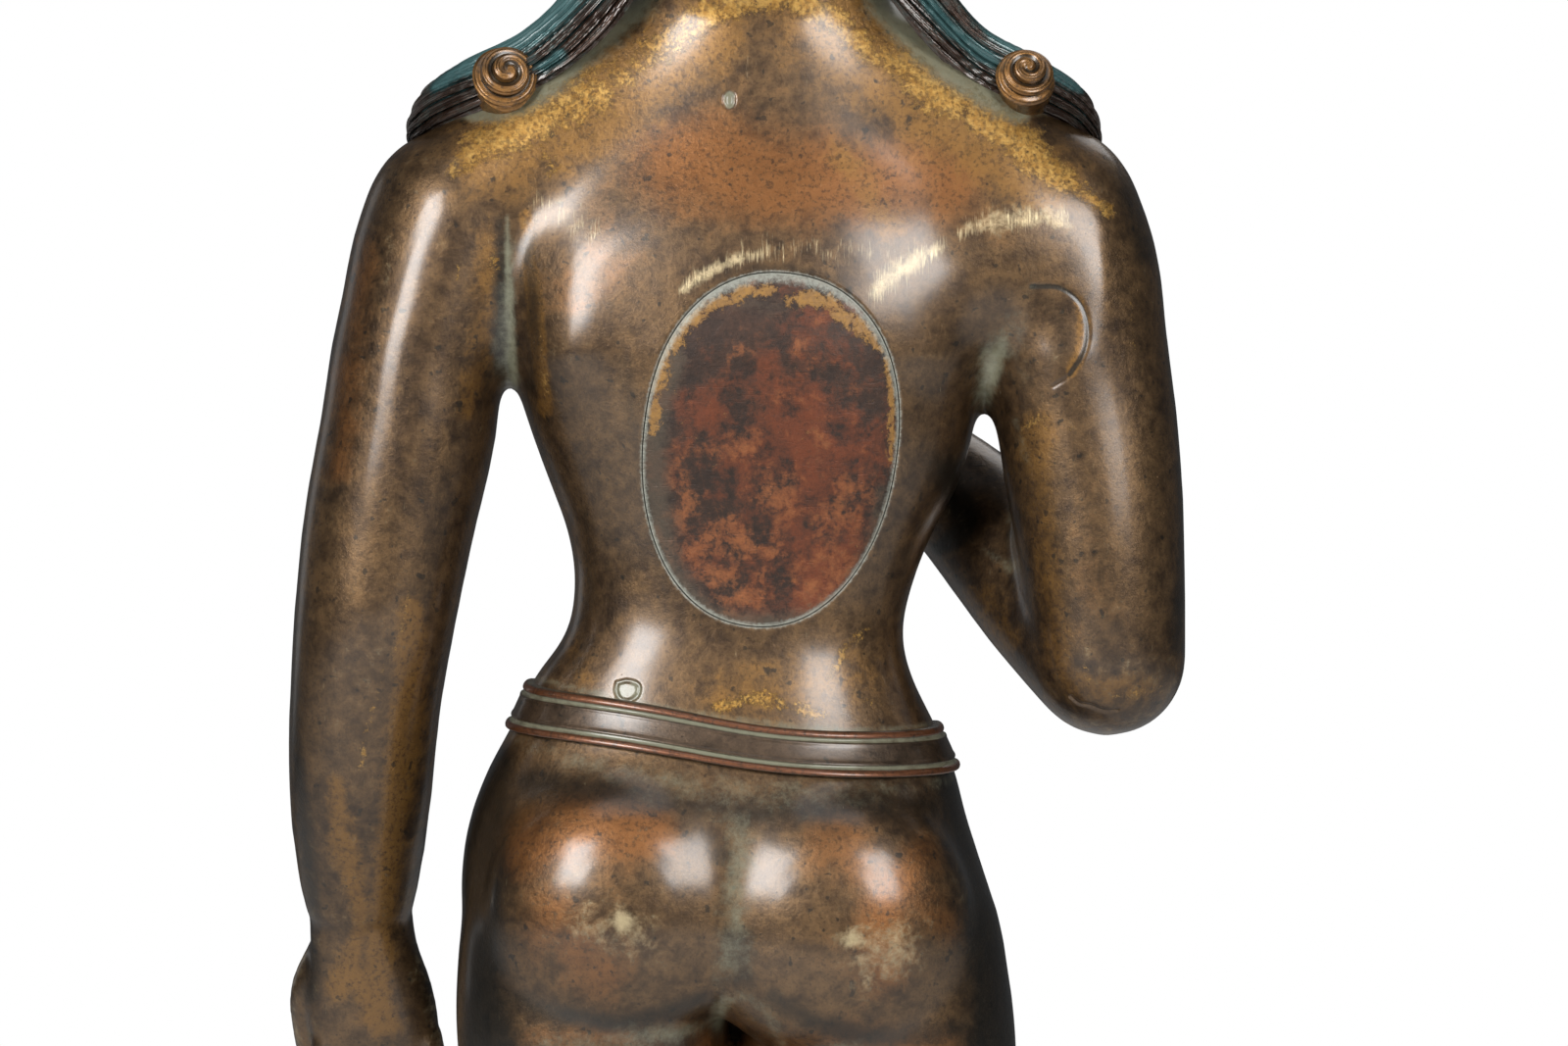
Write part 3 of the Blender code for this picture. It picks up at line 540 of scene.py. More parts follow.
# Swells and hollows of the back: how far out in metres, middle across and up, and reach in fingers
BACK_RELIEF = [
    (0.0034, 8.2, 87.0, 2.3, 5.0),
    (0.0014, 8.8, 95.0, 2.2, 2.0),
    (-0.0018, -17.2, 86.0, 1.8, 6.0),
]


def swell_back(obj):
    """Fills the left blade out towards the arm and flattens the back of the right arm."""
    places = vertex_places(obj)
    x, _, z = to_fingers(places).T
    behind = np.clip(2 * vertex_normals(obj)[:, 1], 0, 1)
    for height, across, up, width, tall in BACK_RELIEF:
        places[:, 1] += height * behind * np.exp(-(((x - across) / width) ** 2) - ((z - up) / tall) ** 2)
    move_vertices(obj, places)


SOFTENING = 110  # rounds


def soften_back(obj):
    """Melts the shoulder blades and the buttocks into the back, and leaves the armpits crisp."""
    places = vertex_places(obj)
    x, _, z = to_fingers(places).T
    behind = np.clip(2 * vertex_normals(obj)[:, 1], 0, 1)
    blades = band(x, -16.5, 9.8, 1.5) * band(z, 86.0, 99.5, 2.0)
    nape = band(x, -16.0, 13.0, 2.0) * band(z, 93.5, 101.0, 1.5)
    seat = band(x, -13.2, 13.2, 1.5) * band(z, 57.0, 68.5, 1.2)
    cleft = band(x, -4.5, 5.0, 2.5) * band(z, 57.5, 68.5, 1.2)
    armpit = band(x, 7.5, 13.0, 1.0) * band(z, 82.5, 95.0, 1.0)
    average = neighbour_average(obj)
    strong = np.maximum(np.maximum(blades, nape), np.maximum(0.15 * seat, 0.3 * cleft))
    for share, times in ((strong, SOFTENING), (armpit, SOFTENING // 7)):
        share = (0.5 * behind * share)[:, None]
        for _ in range(times):
            places += share * (average(places) - places)
    move_vertices(obj, places)


def sculpt_skin():
    """The bare body, arms, hands and feet as one skin."""
    body = form("torso", [trunk(), *trunk_swells(), *shoulders(), left_arm(), *right_arm(), *legs()])
    fuse(body, BODY_CLAY)
    swell_back(body)
    soften_back(body)
    extremities = [
        *hand((17.35, -3.7, 59.8), (-0.07, -0.22, -1), (0, 1, -0.2), False),
        *hand((-7.5, -9.9, 82.3), (0.10, -0.18, 1), (0, 1, 0.2), True),
    ]
    for ankle in FEET:
        extremities += foot(*ankle)
    join(body, [form("extremities", extremities)])
    fuse(body, SKIN_CLAY)
    return body


def part_under_belt(skin):
    """Parts the skin at a plane that the belt hides, levels the soles and gives back the lower piece."""
    x, height, rise = BODY_CUT
    place = to_metres([x, 0, height])
    normal = np.array([-rise, 0, 1]) / math.hypot(rise, 1)
    lower = copy_of(skin, "legs_and_hips")
    halve(skin, place, -normal, beside_arm=True)
    halve(lower, place, normal)
    halve(lower, (0, 0, SOLE_HEIGHT), (0, 0, -1))
    drop_left_arm(lower)
    return lower


# Marks of casting and repair on the skin, cut as shallow grooves


def oval_line(grow=0.0, count=400):
    """The back plate's outline in fingers, seen from behind, grown all round by grow metres."""
    turn = np.linspace(0, 2 * math.pi, count, endpoint=False)
    half_w, half_h = PLATE_WIDTH / 2 + grow, PLATE_HEIGHT / 2 + grow
    x = half_w * np.sign(np.cos(turn)) * np.abs(np.cos(turn)) ** 0.92
    z = half_h * np.sign(np.sin(turn)) * np.abs(np.sin(turn)) ** 0.92
    x = x * (1 + 0.05 * np.sin(turn))
    cos, sin = math.cos(PLATE_LEAN), math.sin(PLATE_LEAN)
    across = (x * cos - z * sin) / FINGER + PLATE_MIDDLE[0]
    up = (x * sin + z * cos) / FINGER + PLATE_MIDDLE[1]
    return np.stack([across, up], axis=1)


def photo_point(px, py):
    """Fingers across and up for a pixel of the photograph."""
    return ((AXIS_PIXEL - px) / PIXELS_PER_FINGER, (SOLE_PIXEL - py) / PIXELS_PER_FINGER)


def line_through(points, count, closed=False):
    rows = [(*photo_point(*p), 0.0) for p in points]
    if closed:
        rows.append(rows[0])
    return smooth_rows(rows, count)[:, :2]


# Lines through pixels of the photograph
FLAP_EDGE = line_through(
    [(1049, 295), (1078, 297), (1098, 312), (1106, 335), (1103, 362), (1088, 385), (1071, 396)], 90
)
PLUG_EDGE = line_through(
    [(745, 100), (749, 103), (750, 108), (748, 114), (745, 116), (741, 113), (740, 108), (741, 103)],
    40,
    closed=True,
)
PATCH_EDGE = line_through(
    [(632, 694), (643, 692), (654, 697), (653, 706), (644, 712), (634, 709), (631, 701)], 60, closed=True
)
ELBOW_CRACK = line_through([(1090, 709), (1099, 716), (1110, 718), (1124, 723), (1137, 723)], 50)
MARKS = (  # the line of each, with its groove's reach and depth in metres
    (FLAP_EDGE, (0.0007, 0.00016)),
    (ELBOW_CRACK, (0.0005, 0.0004)),
    (PLUG_EDGE, (0.0004, 0.0004)),
    (PATCH_EDGE, (0.0005, 0.0004)),
)
PATCH_DIRT_REACH = 0.0003
MARK_SPAN = 9  # fingers to either side of a line's middle, beyond any point of it
FAR = 99.0  # stands for more than any distance here
FACES_BACK = 0.1  # least share of a normal that points backwards


def distance_to_line(points, line):
    """The least distance, in fingers, from points seen from behind to a line of points."""
    best = np.full(len(points), FAR)
    for x, z in line:
        best = np.minimum(best, np.hypot(points[:, 0] - x, points[:, 1] - z))
    return best


def refine_near(obj, lines, reach, cuts):
    """Subdivides the skin facing backwards within reach fingers of the lines."""
    places = to_fingers(vertex_places(obj))
    behind = np.where(vertex_normals(obj)[:, 1] > FACES_BACK)[0]
    flat = places[behind][:, [0, 2]]
    near = np.full(len(places), FAR)
    for line in lines:
        near[behind] = np.minimum(near[behind], distance_to_line(flat, line))
    select_points(obj, near < reach)
    bpy.ops.object.mode_set(mode="EDIT")
    bpy.ops.mesh.subdivide(number_cuts=cuts, smoothness=1)
    bpy.ops.object.mode_set(mode="OBJECT")


def groove(obj, line, reach, depth):
    """Presses a groove along a line into the skin that faces backwards; sizes in metres."""
    places = vertex_places(obj)
    normals = vertex_normals(obj)
    fingers = to_fingers(places)
    beside = np.abs(fingers[:, 0] - line[:, 0].mean()) < MARK_SPAN
    behind = np.where((normals[:, 1] > FACES_BACK) & beside)[0]
    gap = distance_to_line(fingers[behind][:, [0, 2]], line) * FINGER
    press = -depth * np.exp(-((gap / reach) ** 2))
    places[behind] += normals[behind] * press[:, None]
    move_vertices(obj, places)


def let_in_plate(skin):
    """Cuts the opening for the back plate and fills it with a plate on the same curve."""
    seam = oval_line()
    grooves = ((seam, SEAM_GROOVE), *MARKS)
    refine_near(skin, [line for line, _ in grooves], reach=0.42, cuts=3)
    for line, (reach, depth) in grooves:
        groove(skin, line, reach, depth)
    plate = copy_of(skin, "back_plate_face")
    outline = form("plate_outline", [prism_rings(0.0)])
    apply_modifier(plate, "BOOLEAN", operation="INTERSECT", solver="EXACT", object=outline)
    bpy.data.objects.remove(outline)
    cut_away(plate, form("plate_core", [trunk(PLATE_THICKNESS / FINGER)]))
    opening = form("opening", [prism_rings(PLATE_GAP)])
    cut_away(opening, form("opening_core", [trunk((PLATE_THICKNESS + PLATE_GAP) / FINGER)]))
    cut_away(skin, opening)
    return plate


PRISM_LENGTH = 12.0  # fingers, from the body's middle out through its back


def prism_rings(grow):
    """The plate's outline as a prism through the back, grown all round by grow metres."""
    line = oval_line(grow, 240)
    return np.array([np.insert(line, 1, y, axis=1) for y in (0.0, PRISM_LENGTH)])


# Head, face and hair


def face_relief(x, h):
    """How far the face stands out at x across from its middle and h above the chin, in fingers."""
    side = np.abs(x)

    def bump(cx, ch, wx, wh):
        return np.exp(-(((x - cx) / wx) ** 2) - ((h - ch) / wh) ** 2)

    def pair(cx, ch, wx, wh):
        return np.exp(-(((side - cx) / wx) ** 2) - ((h - ch) / wh) ** 2)

    nose_run = np.clip((8.4 - h) / 4.0, 0, 1)
    nose_end = 1 / (1 + np.exp(-(h - 3.95) / 0.12))
    nose = (0.25 + 1.4 * nose_run**1.3) * nose_end * np.exp(-((x / (0.58 + 0.42 * nose_run)) ** 2))
    nose = nose * np.clip((9.2 - h) / 0.8, 0, 1)
    wings = 0.5 * pair(0.92, 4.45, 0.42, 0.42) * nose_end
    nostrils = -0.25 * pair(0.5, 3.95, 0.25, 0.16)
    eye_arc = 0.22 * (1 - ((side - 2.45) / 1.5) ** 2)
    sockets = -0.5 * pair(2.3, 7.5, 1.5, 0.6) - 0.35 * pair(0.9, 6.9, 0.6, 0.7)
    lids = 0.55 * pair(2.45, 6.85, 1.15, 0.62)
    slit = -0.22 * np.exp(-(((h - 6.42 + eye_arc) / 0.11) ** 2)) * np.clip(1.25 - np.abs(side - 2.45), 0, 1)
    lower_lid = 0.14 * np.exp(-(((h - 6.1 + eye_arc) / 0.16) ** 2)) * np.clip(1.3 - np.abs(side - 2.45), 0, 1)
    brow_line = 8.05 + 0.75 * np.sin(np.clip((side - 0.6) / 4.4, 0, 1) * math.pi)
    brow_in = np.clip((side - 0.5) / 0.3, 0, 1) * np.clip((4.6 - side) / 0.5, 0, 1)
    brows = 0.2 * np.exp(-(((h - brow_line) / 0.2) ** 2)) * brow_in
    bow = 0.10 * np.cos(np.clip(side / 0.9, 0, 1) * math.pi)
    upper_lip = 0.46 * pair(0.5, 2.95 - bow.mean(), 0.85, 0.3)
    lower_lip = 0.5 * bump(0, 2.2, 1.0, 0.32)
    lip_line = -0.3 * np.exp(-(((h - 2.6 - 0.05 * side) / 0.1) ** 2)) * np.clip((1.75 - side) / 0.5, 0, 1)
    corners = -0.15 * pair(1.75, 2.62, 0.3, 0.3)
    philtrum = -0.08 * bump(0, 3.45, 0.22, 0.35)
    chin = 0.4 * bump(0, 0.85, 1.2, 0.75) - 0.12 * bump(0, 1.65, 1.3, 0.25)
    cheeks = 0.3 * pair(3.2, 4.4, 1.6, 1.5)
    urna = 0.22 * bump(0, 9.15, 0.28, 0.28)
    return (
        nose + wings + nostrils + sockets + lids + slit + lower_lid + brows + upper_lip + lower_lip
        + lip_line + corners + philtrum + chin + cheeks + urna
    )


HEAD = [  # height above the chin, middle, half width, behind, front
    (-0.4, 0, 1.6, 1.0, 5.6),
    (0.5, 0, 3.1, 2.6, 6.3),
    (2.0, 0, 4.5, 4.2, 6.6),
    (4.5, 0, 5.5, 5.8, 6.7),
    (7.5, 0, 6.1, 7.0, 6.7),
    (10.5, 0, 6.3, 7.4, 6.7),
    (13.0, 0, 5.7, 6.9, 5.9),
    (15.0, 0, 3.9, 4.9, 4.1),
    (16.0, 0, 1.6, 2.2, 1.8),
]


def hairline(y):
    """Height above the chin of the hair's edge: it drops from the brow to the nape."""
    return 11.7 - 0.75 * (y + 6.7)


def head_form():
    """The face, its features raised on a plain egg."""
    rings = upright_rings(HEAD, sides=220, count=200)
    x, y, h = rings[:, :, 0], rings[:, :, 1], rings[:, :, 2]
    outward = unit_rows(np.stack([x, y], axis=2).reshape(-1, 2)).reshape(x.shape + (2,))
    front = np.clip(-outward[:, :, 1] * 1.6 - 0.5, 0, 1)
    rings[:, :, :2] += outward * (face_relief(x, h) * front)[:, :, None]
    return placed(rings, np.eye(3), HEAD_MIDDLE)


def ears():
    shapes = []
    for side in (1, -1):
        rim = [
            (side * 6.2, 0.9, 9.3, 0.55, 0.5),
            (side * 6.75, 1.9, 8.4, 0.45, 0.45),
            (side * 6.75, 1.8, 6.6, 0.42, 0.42),
            (side * 6.5, 1.1, 4.6, 0.42, 0.5),
            (side * 6.25, 0.5, 2.4, 0.5, 0.75),
            (side * 6.0, 0.2, 0.4, 0.55, 0.8),
        ]
        front_rim = [
            (side * 6.2, 0.9, 9.3, 0.5, 0.5),
            (side * 6.45, -0.3, 8.6, 0.42, 0.4),
            (side * 6.3, -0.5, 7.0, 0.45, 0.45),
            (side * 6.2, -0.3, 5.2, 0.4, 0.45),
            (side * 6.1, -0.1, 3.2, 0.42, 0.5),
            (side * 6.0, 0.1, 0.6, 0.5, 0.6),
        ]
        bowl = [
            (side * 6.0, 0.7, 8.9, 0.6, 1.0),
            (side * 6.1, 0.6, 6.5, 0.55, 1.2),
            (side * 6.0, 0.4, 3.5, 0.5, 0.7),
            (side * 5.9, 0.1, 0.8, 0.45, 0.6),
        ]
        for rows in (rim, front_rim, bowl):
            shapes.append(placed(limb(rows, count=30, sides=18), np.eye(3), HEAD_MIDDLE))
    return shapes


HAIR_LOCKS = 34


def hair_cap():
    """Combed hair from the hairline up to the topknot, its locks running to the crown."""
    sides = HAIR_LOCKS * 8
    turn = np.linspace(0, 2 * math.pi, sides, endpoint=False)
    levels = np.linspace(0, 1, 70)
    profile = smooth_rows([(r[0], 0, 0, *r[1:]) for r in HEAD], 400)
    rings = []
    y_round = np.sin(turn) * 6.9
    start = np.clip(hairline(y_round), 1.7, 12.0)
    for level in levels:
        h = start + (15.4 - start) * level
        half = np.interp(h, profile[:, 0], profile[:, 4])
        behind = np.interp(h, profile[:, 0], profile[:, 5])
        front = np.interp(h, profile[:, 0], profile[:, 6])
        wave = turn + 0.10 * np.sin(level * 5.0 + np.sin(turn) * 2.0)
        comb = 0.13 * np.abs(np.cos(wave * HAIR_LOCKS / 2)) - 0.06
        edge = 0.62 * math.sqrt(max(0.0, 1 - max(0.0, 1 - level / 0.05) ** 2))
        swell = edge + comb * min(1.0, level / 0.06)
        x = (half + swell) * np.cos(turn)
        y = (np.where(np.sin(turn) > 0, behind, front) + swell) * np.sin(turn)
        rings.append(np.stack([x, y, h], axis=1))
    inside = rings[0] * np.array([0.9, 0.9, 1.0]) + np.array([0, 0, 0.3])
    under = rings[0] * np.array([0.97, 0.97, 1.0])
    return placed(np.array([inside, under, *rings]), np.eye(3), HEAD_MIDDLE)


KNOT = [
    (118.6, -0.3, 3.6, 3.9, 3.3),
    (120.4, -0.3, 3.2, 3.4, 3.0),
    (121.2, -0.3, 3.0, 3.2, 2.9),
    (123.6, -0.3, 3.9, 4.0, 3.8),
    (126.4, -0.3, 3.4, 3.5, 3.3),
    (128.6, -0.3, 2.1, 2.1, 2.0),
    (129.8, -0.3, 0.5, 0.5, 0.5),
]


def topknot():
    """The hair bound above the crown, in upright locks with fine strands."""
    knot = upright_rings(KNOT, sides=288, count=110)
    knot[:, :, 1] += 0.5
    middle = np.array([-0.3, 0.2])
    turn = np.arctan2(knot[:, :, 1] - middle[1], knot[:, :, 0] - middle[0])
    wind = turn + 0.05 * (knot[:, :, 2] - 120)
    lock = 1 + 0.07 * (np.abs(np.cos(wind * 6)) ** 0.7 - 0.6) + 0.012 * np.cos(wind * 48)
    knot[:, :, :2] = middle + (knot[:, :, :2] - middle) * lock[:, :, None]
    return knot


def hair_ties():
    """Two rolled bands round the foot of the topknot."""
    bands = []
    for height in (120.25, 121.1):
        rows = []
        for turn in np.linspace(-1.5, 1.5, 9):
            half = 3.15 + 0.42 * math.cos(turn)
            rows.append((height + 0.42 * math.sin(turn), -0.3, half, half + 0.45, half - 0.1))
        bands.append(upright_rings(rows, sides=120, count=17))
    return bands


def tiara():
    """A plain band over the brow with three leaf plaques."""
    hoop = [  # height, middle, half width, depth behind, depth in front
        (115.3, -0.3, 6.5, 7.1, 7.2),
        (115.7, -0.3, 6.9, 7.5, 7.5),
        (116.1, -0.3, 6.75, 7.3, 7.3),
        (116.5, -0.3, 6.8, 7.4, 7.35),
        (116.9, -0.3, 6.4, 7.0, 7.0),
    ]
    shapes = [upright_rings(hoop, sides=160, count=24)]
    for turn_deg, height, half in ((0, 5.4, 1.7), (52, 4.0, 1.4), (-52, 4.0, 1.4)):
        turn = math.radians(turn_deg)
        out = np.array([math.sin(turn), -math.cos(turn), 0])
        side = np.array([math.cos(turn), math.sin(turn), 0])
        up = np.array([0, 0, 1]) - 0.18 * out
        leaf = [
            (0, 0, 0.0, half * 0.75, 0.45),
            (0, 0, height * 0.35, half, 0.5),
            (0, 0, height * 0.7, half * 0.62, 0.42),
            (0, 0, height, 0.15, 0.2),
        ]
        boss = ellipsoid((0, 0.25, height * 0.33), (half * 0.42, 0.55, half * 0.5), 24, 13)
        foot_of_leaf = np.array([-0.3, -0.2, 115.8]) + out * 6.9 * (0.93 if turn_deg else 1.0)
        shapes.append(placed(limb(leaf, sides=28, count=24), (side, -out, up), foot_of_leaf))
        shapes.append(placed(boss * np.array([1, -1, 1]), (side, -out, up), foot_of_leaf))
    return shapes


LEFT_TRESS = [
    (3.7, 2.4, 109.5, 1.3, 0.9),
    (4.9, 3.2, 106.2, 1.4, 0.95),
    (6.1, 2.9, 102.4, 1.75, 1.0),
    (9.0, 2.1, 99.55, 1.55, 1.0),
    (12.1, 1.5, 98.1, 1.4, 1.0),
    (13.75, 0.2, 97.2, 1.35, 0.9),
    (14.1, -1.8, 95.7, 1.0, 0.8),
    (14.0, -3.3, 93.8, 0.5, 0.5),
]
RIGHT_TRESS = [
    (-4.4, 2.4, 109.5, 1.3, 0.9),
    (-6.0, 3.2, 106.2, 1.4, 0.95),
    (-8.2, 2.9, 102.4, 1.35, 1.0),
    (-10.6, 2.1, 99.75, 1.3, 1.0),
    (-13.5, 1.5, 98.2, 1.35, 1.0),
    (-15.3, 0.2, 97.15, 1.3, 0.9),
    (-15.7, -1.8, 95.5, 1.0, 0.8),
    (-15.5, -3.3, 93.8, 0.5, 0.5),
]
LOCKS = 7


def tress(rows, side):
    """A flat tress over one shoulder, in rounded locks with finer strands that wave along it."""
    sides, count = 32 * LOCKS, 150
    shape = limb(rows, (0.25 * side, 0.62, 0.74), sides, count)
    middles = shape.mean(axis=1, keepdims=True)
    turn = np.linspace(0, 2 * math.pi, sides, endpoint=False)[None, :]
    along = np.linspace(0, 1, shape.shape[0])[:, None]
    wave = turn + 0.10 * np.sin(along * 9.0) + 0.05 * np.sin(along * 23.0 + 2 * turn)
    lock = 0.20 * (np.abs(np.cos(wave * LOCKS)) ** 0.6 - 0.7)
    strand = 0.040 * np.cos(wave * LOCKS * 6)
    return middles + (shape - middles) * (1 + lock + strand)[:, :, None]


CURLS = (  # name, middle of the foot, its radius, how the tip leans, and which way it winds
    ("left_curl", (10.5, 2.8, 98.3), 1.45, (-0.20, 0.35), 1),
    ("right_curl", (-13.0, 2.8, 98.3), 1.3, (-0.10, 0.50), -1),
)
CURL_HEIGHT = 1.45
CURL_TURNS = 3


def curl(middle, foot_radius, lean, handed):
    """A snail curl: a low dome wound from a tapering roll of hair, its tip leaning to one side."""
    axis = np.array([lean[0], 1.0, lean[1]])
    axis /= np.linalg.norm(axis)
    side = np.cross(axis, (0, 0, 1))
    side /= np.linalg.norm(side)
    up = np.cross(side, axis)
    turn = np.linspace(0, 2 * math.pi, 144, endpoint=False)
    rings = []
    for share in np.linspace(0, 0.985, 150):
        slope = share * math.pi / 2
        winding = share * CURL_TURNS + handed * turn / (2 * math.pi)
        roll = np.abs(np.sin(winding * math.pi)) ** 0.7
        strand = 0.06 * np.cos(winding * 8 * math.pi)
        relief = foot_radius * (0.24 * (roll - 0.75) + 0.22 * strand) * min(1.0, (1 - share) * 5)
        radius = foot_radius * math.cos(slope) ** 0.85 + relief * math.cos(slope)
        height = CURL_HEIGHT * math.sin(slope) + relief * math.sin(slope)
        flat = np.cos(turn)[:, None] * side + np.sin(turn)[:, None] * up
        rings.append(np.array(middle) + flat * radius[:, None] + axis * height[:, None])
    root = rings[0] - axis * 1.4
    return np.array([root, *rings])


# Belt, clasp and the garment's pleated fall


def skin_reach(tree, heights, turn):
    """Points where level rays from the hips' middle line leave the skin, in fingers."""
    points = []
    for height, angle in zip(heights, turn):
        out = Vector((math.cos(angle), math.sin(angle), 0))
        start = Vector(to_metres([0.5, 0.0, height]))
        hit = tree.ray_cast(start, out)[0]
        points.append(to_fingers(hit))
    return np.array(points)


# How far down from the belt's edge, in fingers, and how far out, as a share of its stand
BELT_RIM_CURVE = [
    (0.0, 0.40), (0.02, 0.66), (0.06, 0.86), (0.12, 0.98), (0.19, 1.02), (0.26, 0.97), (0.31, 0.84),
    (0.34, 0.66), (0.37, 0.54), (0.43, 0.50), (0.49, 0.54),
    (0.52, 0.68), (0.55, 0.80), (0.60, 0.83), (0.66, 0.77), (0.72, 0.72),
]
BELT_EDGE = 0.03  # fingers down to which the edge holds dirt
BELT_RIDGE = (0.05, 0.32)
BELT_GROOVE = (0.33, 0.53)


def belt(skin):
    """A flat band between two ridges, each set off by a groove, fitted to the skin all round.

    Gives back the belt, and how far each of its points lies in a groove or on a ridge.
    """
    tree = BVHTree.FromObject(skin, bpy.context.evaluated_depsgraph_get())
    sides = 240
    turn = np.linspace(0, 2 * math.pi, sides, endpoint=False)
    behind = np.clip(np.sin(turn), 0, 1) ** 0.6 + 0.95 * np.clip(-np.sin(turn), 0, 1)
    middle = belt_middle_height(9.6 * np.cos(turn), behind)
    half, stand = 0.5 * BELT_HEIGHT / FINGER, BELT_STAND / FINGER
    out = np.stack([np.cos(turn), np.sin(turn), 0 * turn], axis=1)
    profile = [(half - down, stands) for down, stands in BELT_RIM_CURVE]
    profile += [(rise, 0.71) for rise in np.linspace(0.26, -0.26, 5) * half]
    profile += [(down - half, stands) for down, stands in BELT_RIM_CURVE[::-1]]
    loops = []
    for rise, stands in [(half, -0.6), *profile, (-half, -0.6)]:
        loop = skin_reach(tree, middle + rise, turn)
        loops.append(smooth_hoop(loop) + out * (stand * stands + 0.1))
    hoop = form("belt", [np.array(loops)], closed_hoop=True)
    edge = np.array([0.0, *[half - abs(rise) for rise, _ in profile], 0.0])
    in_groove = (edge > BELT_GROOVE[0]) & (edge < BELT_GROOVE[1])
    on_ridge = (edge > BELT_RIDGE[0]) & (edge < BELT_RIDGE[1])
    groove_share = np.repeat(1.0 * in_groove + 0.5 * (edge < BELT_EDGE), sides)
    return hoop, groove_share, np.repeat(1.0 * on_ridge, sides)


def smooth_hoop(loop):
    for _ in range(6):
        loop = 0.5 * loop + 0.25 * (np.roll(loop, 1, axis=0) + np.roll(loop, -1, axis=0))
    return loop


PLEATS = 5


def pleated_fall():
    """The garment's pleated end, which hangs in front between the legs and closes the gap there."""
    rows = smooth_rows(
        [  # height, middle x, front y, half width
            (67.5, 0.4, -6.6, 1.3),
            (60.0, 0.2, -6.4, 1.8),
            (50.0, -0.2, -6.3, 2.2),
            (38.0, -0.8, -5.6, 2.7),
            (24.0, -1.2, -4.6, 3.2),
            (10.0, -1.4, -3.8, 3.6),
            (7.6, -1.4, -3.7, 3.7),
        ],
        90,
    )
    share = np.linspace(-1, 1, 121)
    fold = np.abs(((share + 1) * PLEATS) % 2 - 1)
    rings = []
    for z, middle, front, half in rows:
        x = middle + half * share
        hem = 1.0 * fold * np.clip((9.0 - z) / 1.4, 0, 1)
        edge = np.stack([x, front + 0.42 * fold**0.8, z - hem], axis=1)
        back = np.stack([x[::-1], np.full(121, front + 2.6), np.full(121, z)], axis=1)
        rings.append(np.concatenate([edge, back]))
    return np.array(rings)


def clasp():
    """A round boss with a ring of beads, over the belt in front."""
    middle = np.array([0.4, -6.5, 68.2])
    shapes = [ellipsoid(middle, (1.5, 1.0, 1.5), 40, 25)]
    shapes.append(ellipsoid(middle + np.array([0, -0.8, 0]), (0.6, 0.55, 0.6), 24, 13))
    for k in range(14):
        turn = 2 * math.pi * k / 14
        bead = middle + np.array([1.12 * math.cos(turn), -0.62, 1.12 * math.sin(turn)])
        shapes.append(ellipsoid(bead, (0.24, 0.24, 0.24), 12, 7))
    return shapes


# Lotus base

BASE_MARGIN = 0.020
BASE_FLARE = 0.016
PETALS = 14


def base_outline(turn, grow):
    """The base's plan in metres, round its own middle, grown by grow metres."""
    left = max(x for x, _, _ in FEET) + 3.2
    right = min(x for x, _, _ in FEET) - 4.8
    half_x = 0.5 * (left - right) * FINGER + BASE_MARGIN + grow
    half_y = 8.6 * FINGER + BASE_MARGIN + grow
    return np.stack([half_x * np.cos(turn), half_y * np.sin(turn)], axis=1)


def lotus_base():
    """A seed pod over petals that turn down and out, each with a raised rim and a soft point."""
    sides = 36 * PETALS
    turn = np.linspace(0, 2 * math.pi, sides, endpoint=False)
    across = np.mod(turn * PETALS / (2 * math.pi) + 0.5, 1.0) * 2 - 1
    rows = [  # share of the height, share of the flare, how much it is a petal
        (0.0, 0.72, 0.0),
        (0.05, 0.76, 0.0),
        (0.10, 0.80, 0.1),
        (0.16, 0.93, 0.6),
        (0.22, 1.0, 1.0),
        (0.32, 0.98, 1.0),
        (0.42, 0.92, 1.0),
        (0.52, 0.76, 0.9),
        (0.60, 0.55, 0.7),
        (0.68, 0.18, 0.2),
        (0.72, 0.05, 0.0),
        (0.78, 0.05, 0.0),
        (0.82, 0.22, 0.0),
        (0.86, 0.30, 0.0),
        (0.93, 0.31, 0.0),
        (0.98, 0.22, 0.0),
        (1.0, 0.0, 0.0),
    ]
    path = smooth_rows(rows, 120)
    path[:, 0] = np.clip(path[:, 0], 0, 1)
    loops = []
    for height, flare, petal in path:
        width = np.clip(1.02 - np.clip((height - 0.42) / 0.3, 0, 1) ** 2 * 0.9, 0.1, 1.02)
        inside = np.clip((width - np.abs(across)) / 0.16, 0, 1)
        crown = np.sqrt(np.clip(1 - (across / 1.02) ** 2, 0, 1))
        rim = np.exp(-(((width - np.abs(across)) / 0.10 - 0.9) ** 2))
        vein = 0.12 * np.exp(-((across / 0.05) ** 2))
        depth = BASE_FLARE * petal * (0.34 * (crown * inside - 1) + 0.05 * rim + 0.06 * vein)
        beads = 0.0006 * np.abs(np.cos(turn * 42)) * np.exp(-(((height - 0.9) / 0.045) ** 2))
        plan = base_outline(turn, BASE_FLARE * flare)
        away = np.stack([np.cos(turn), np.sin(turn)], axis=1)
        plan = plan + away * (depth + beads)[:, None]
        z = np.full(sides, height * BASE_HEIGHT)
        loops.append(np.concatenate([plan, z[:, None]], axis=1))
    top = loops[-1]
    for inset in (0.97, 0.93, 0.60, 0.25):
        ring = top * np.array([inset, inset, 1.0])
        loops.append(ring)
    return form("lotus_seat", [to_fingers(np.array(loops))])
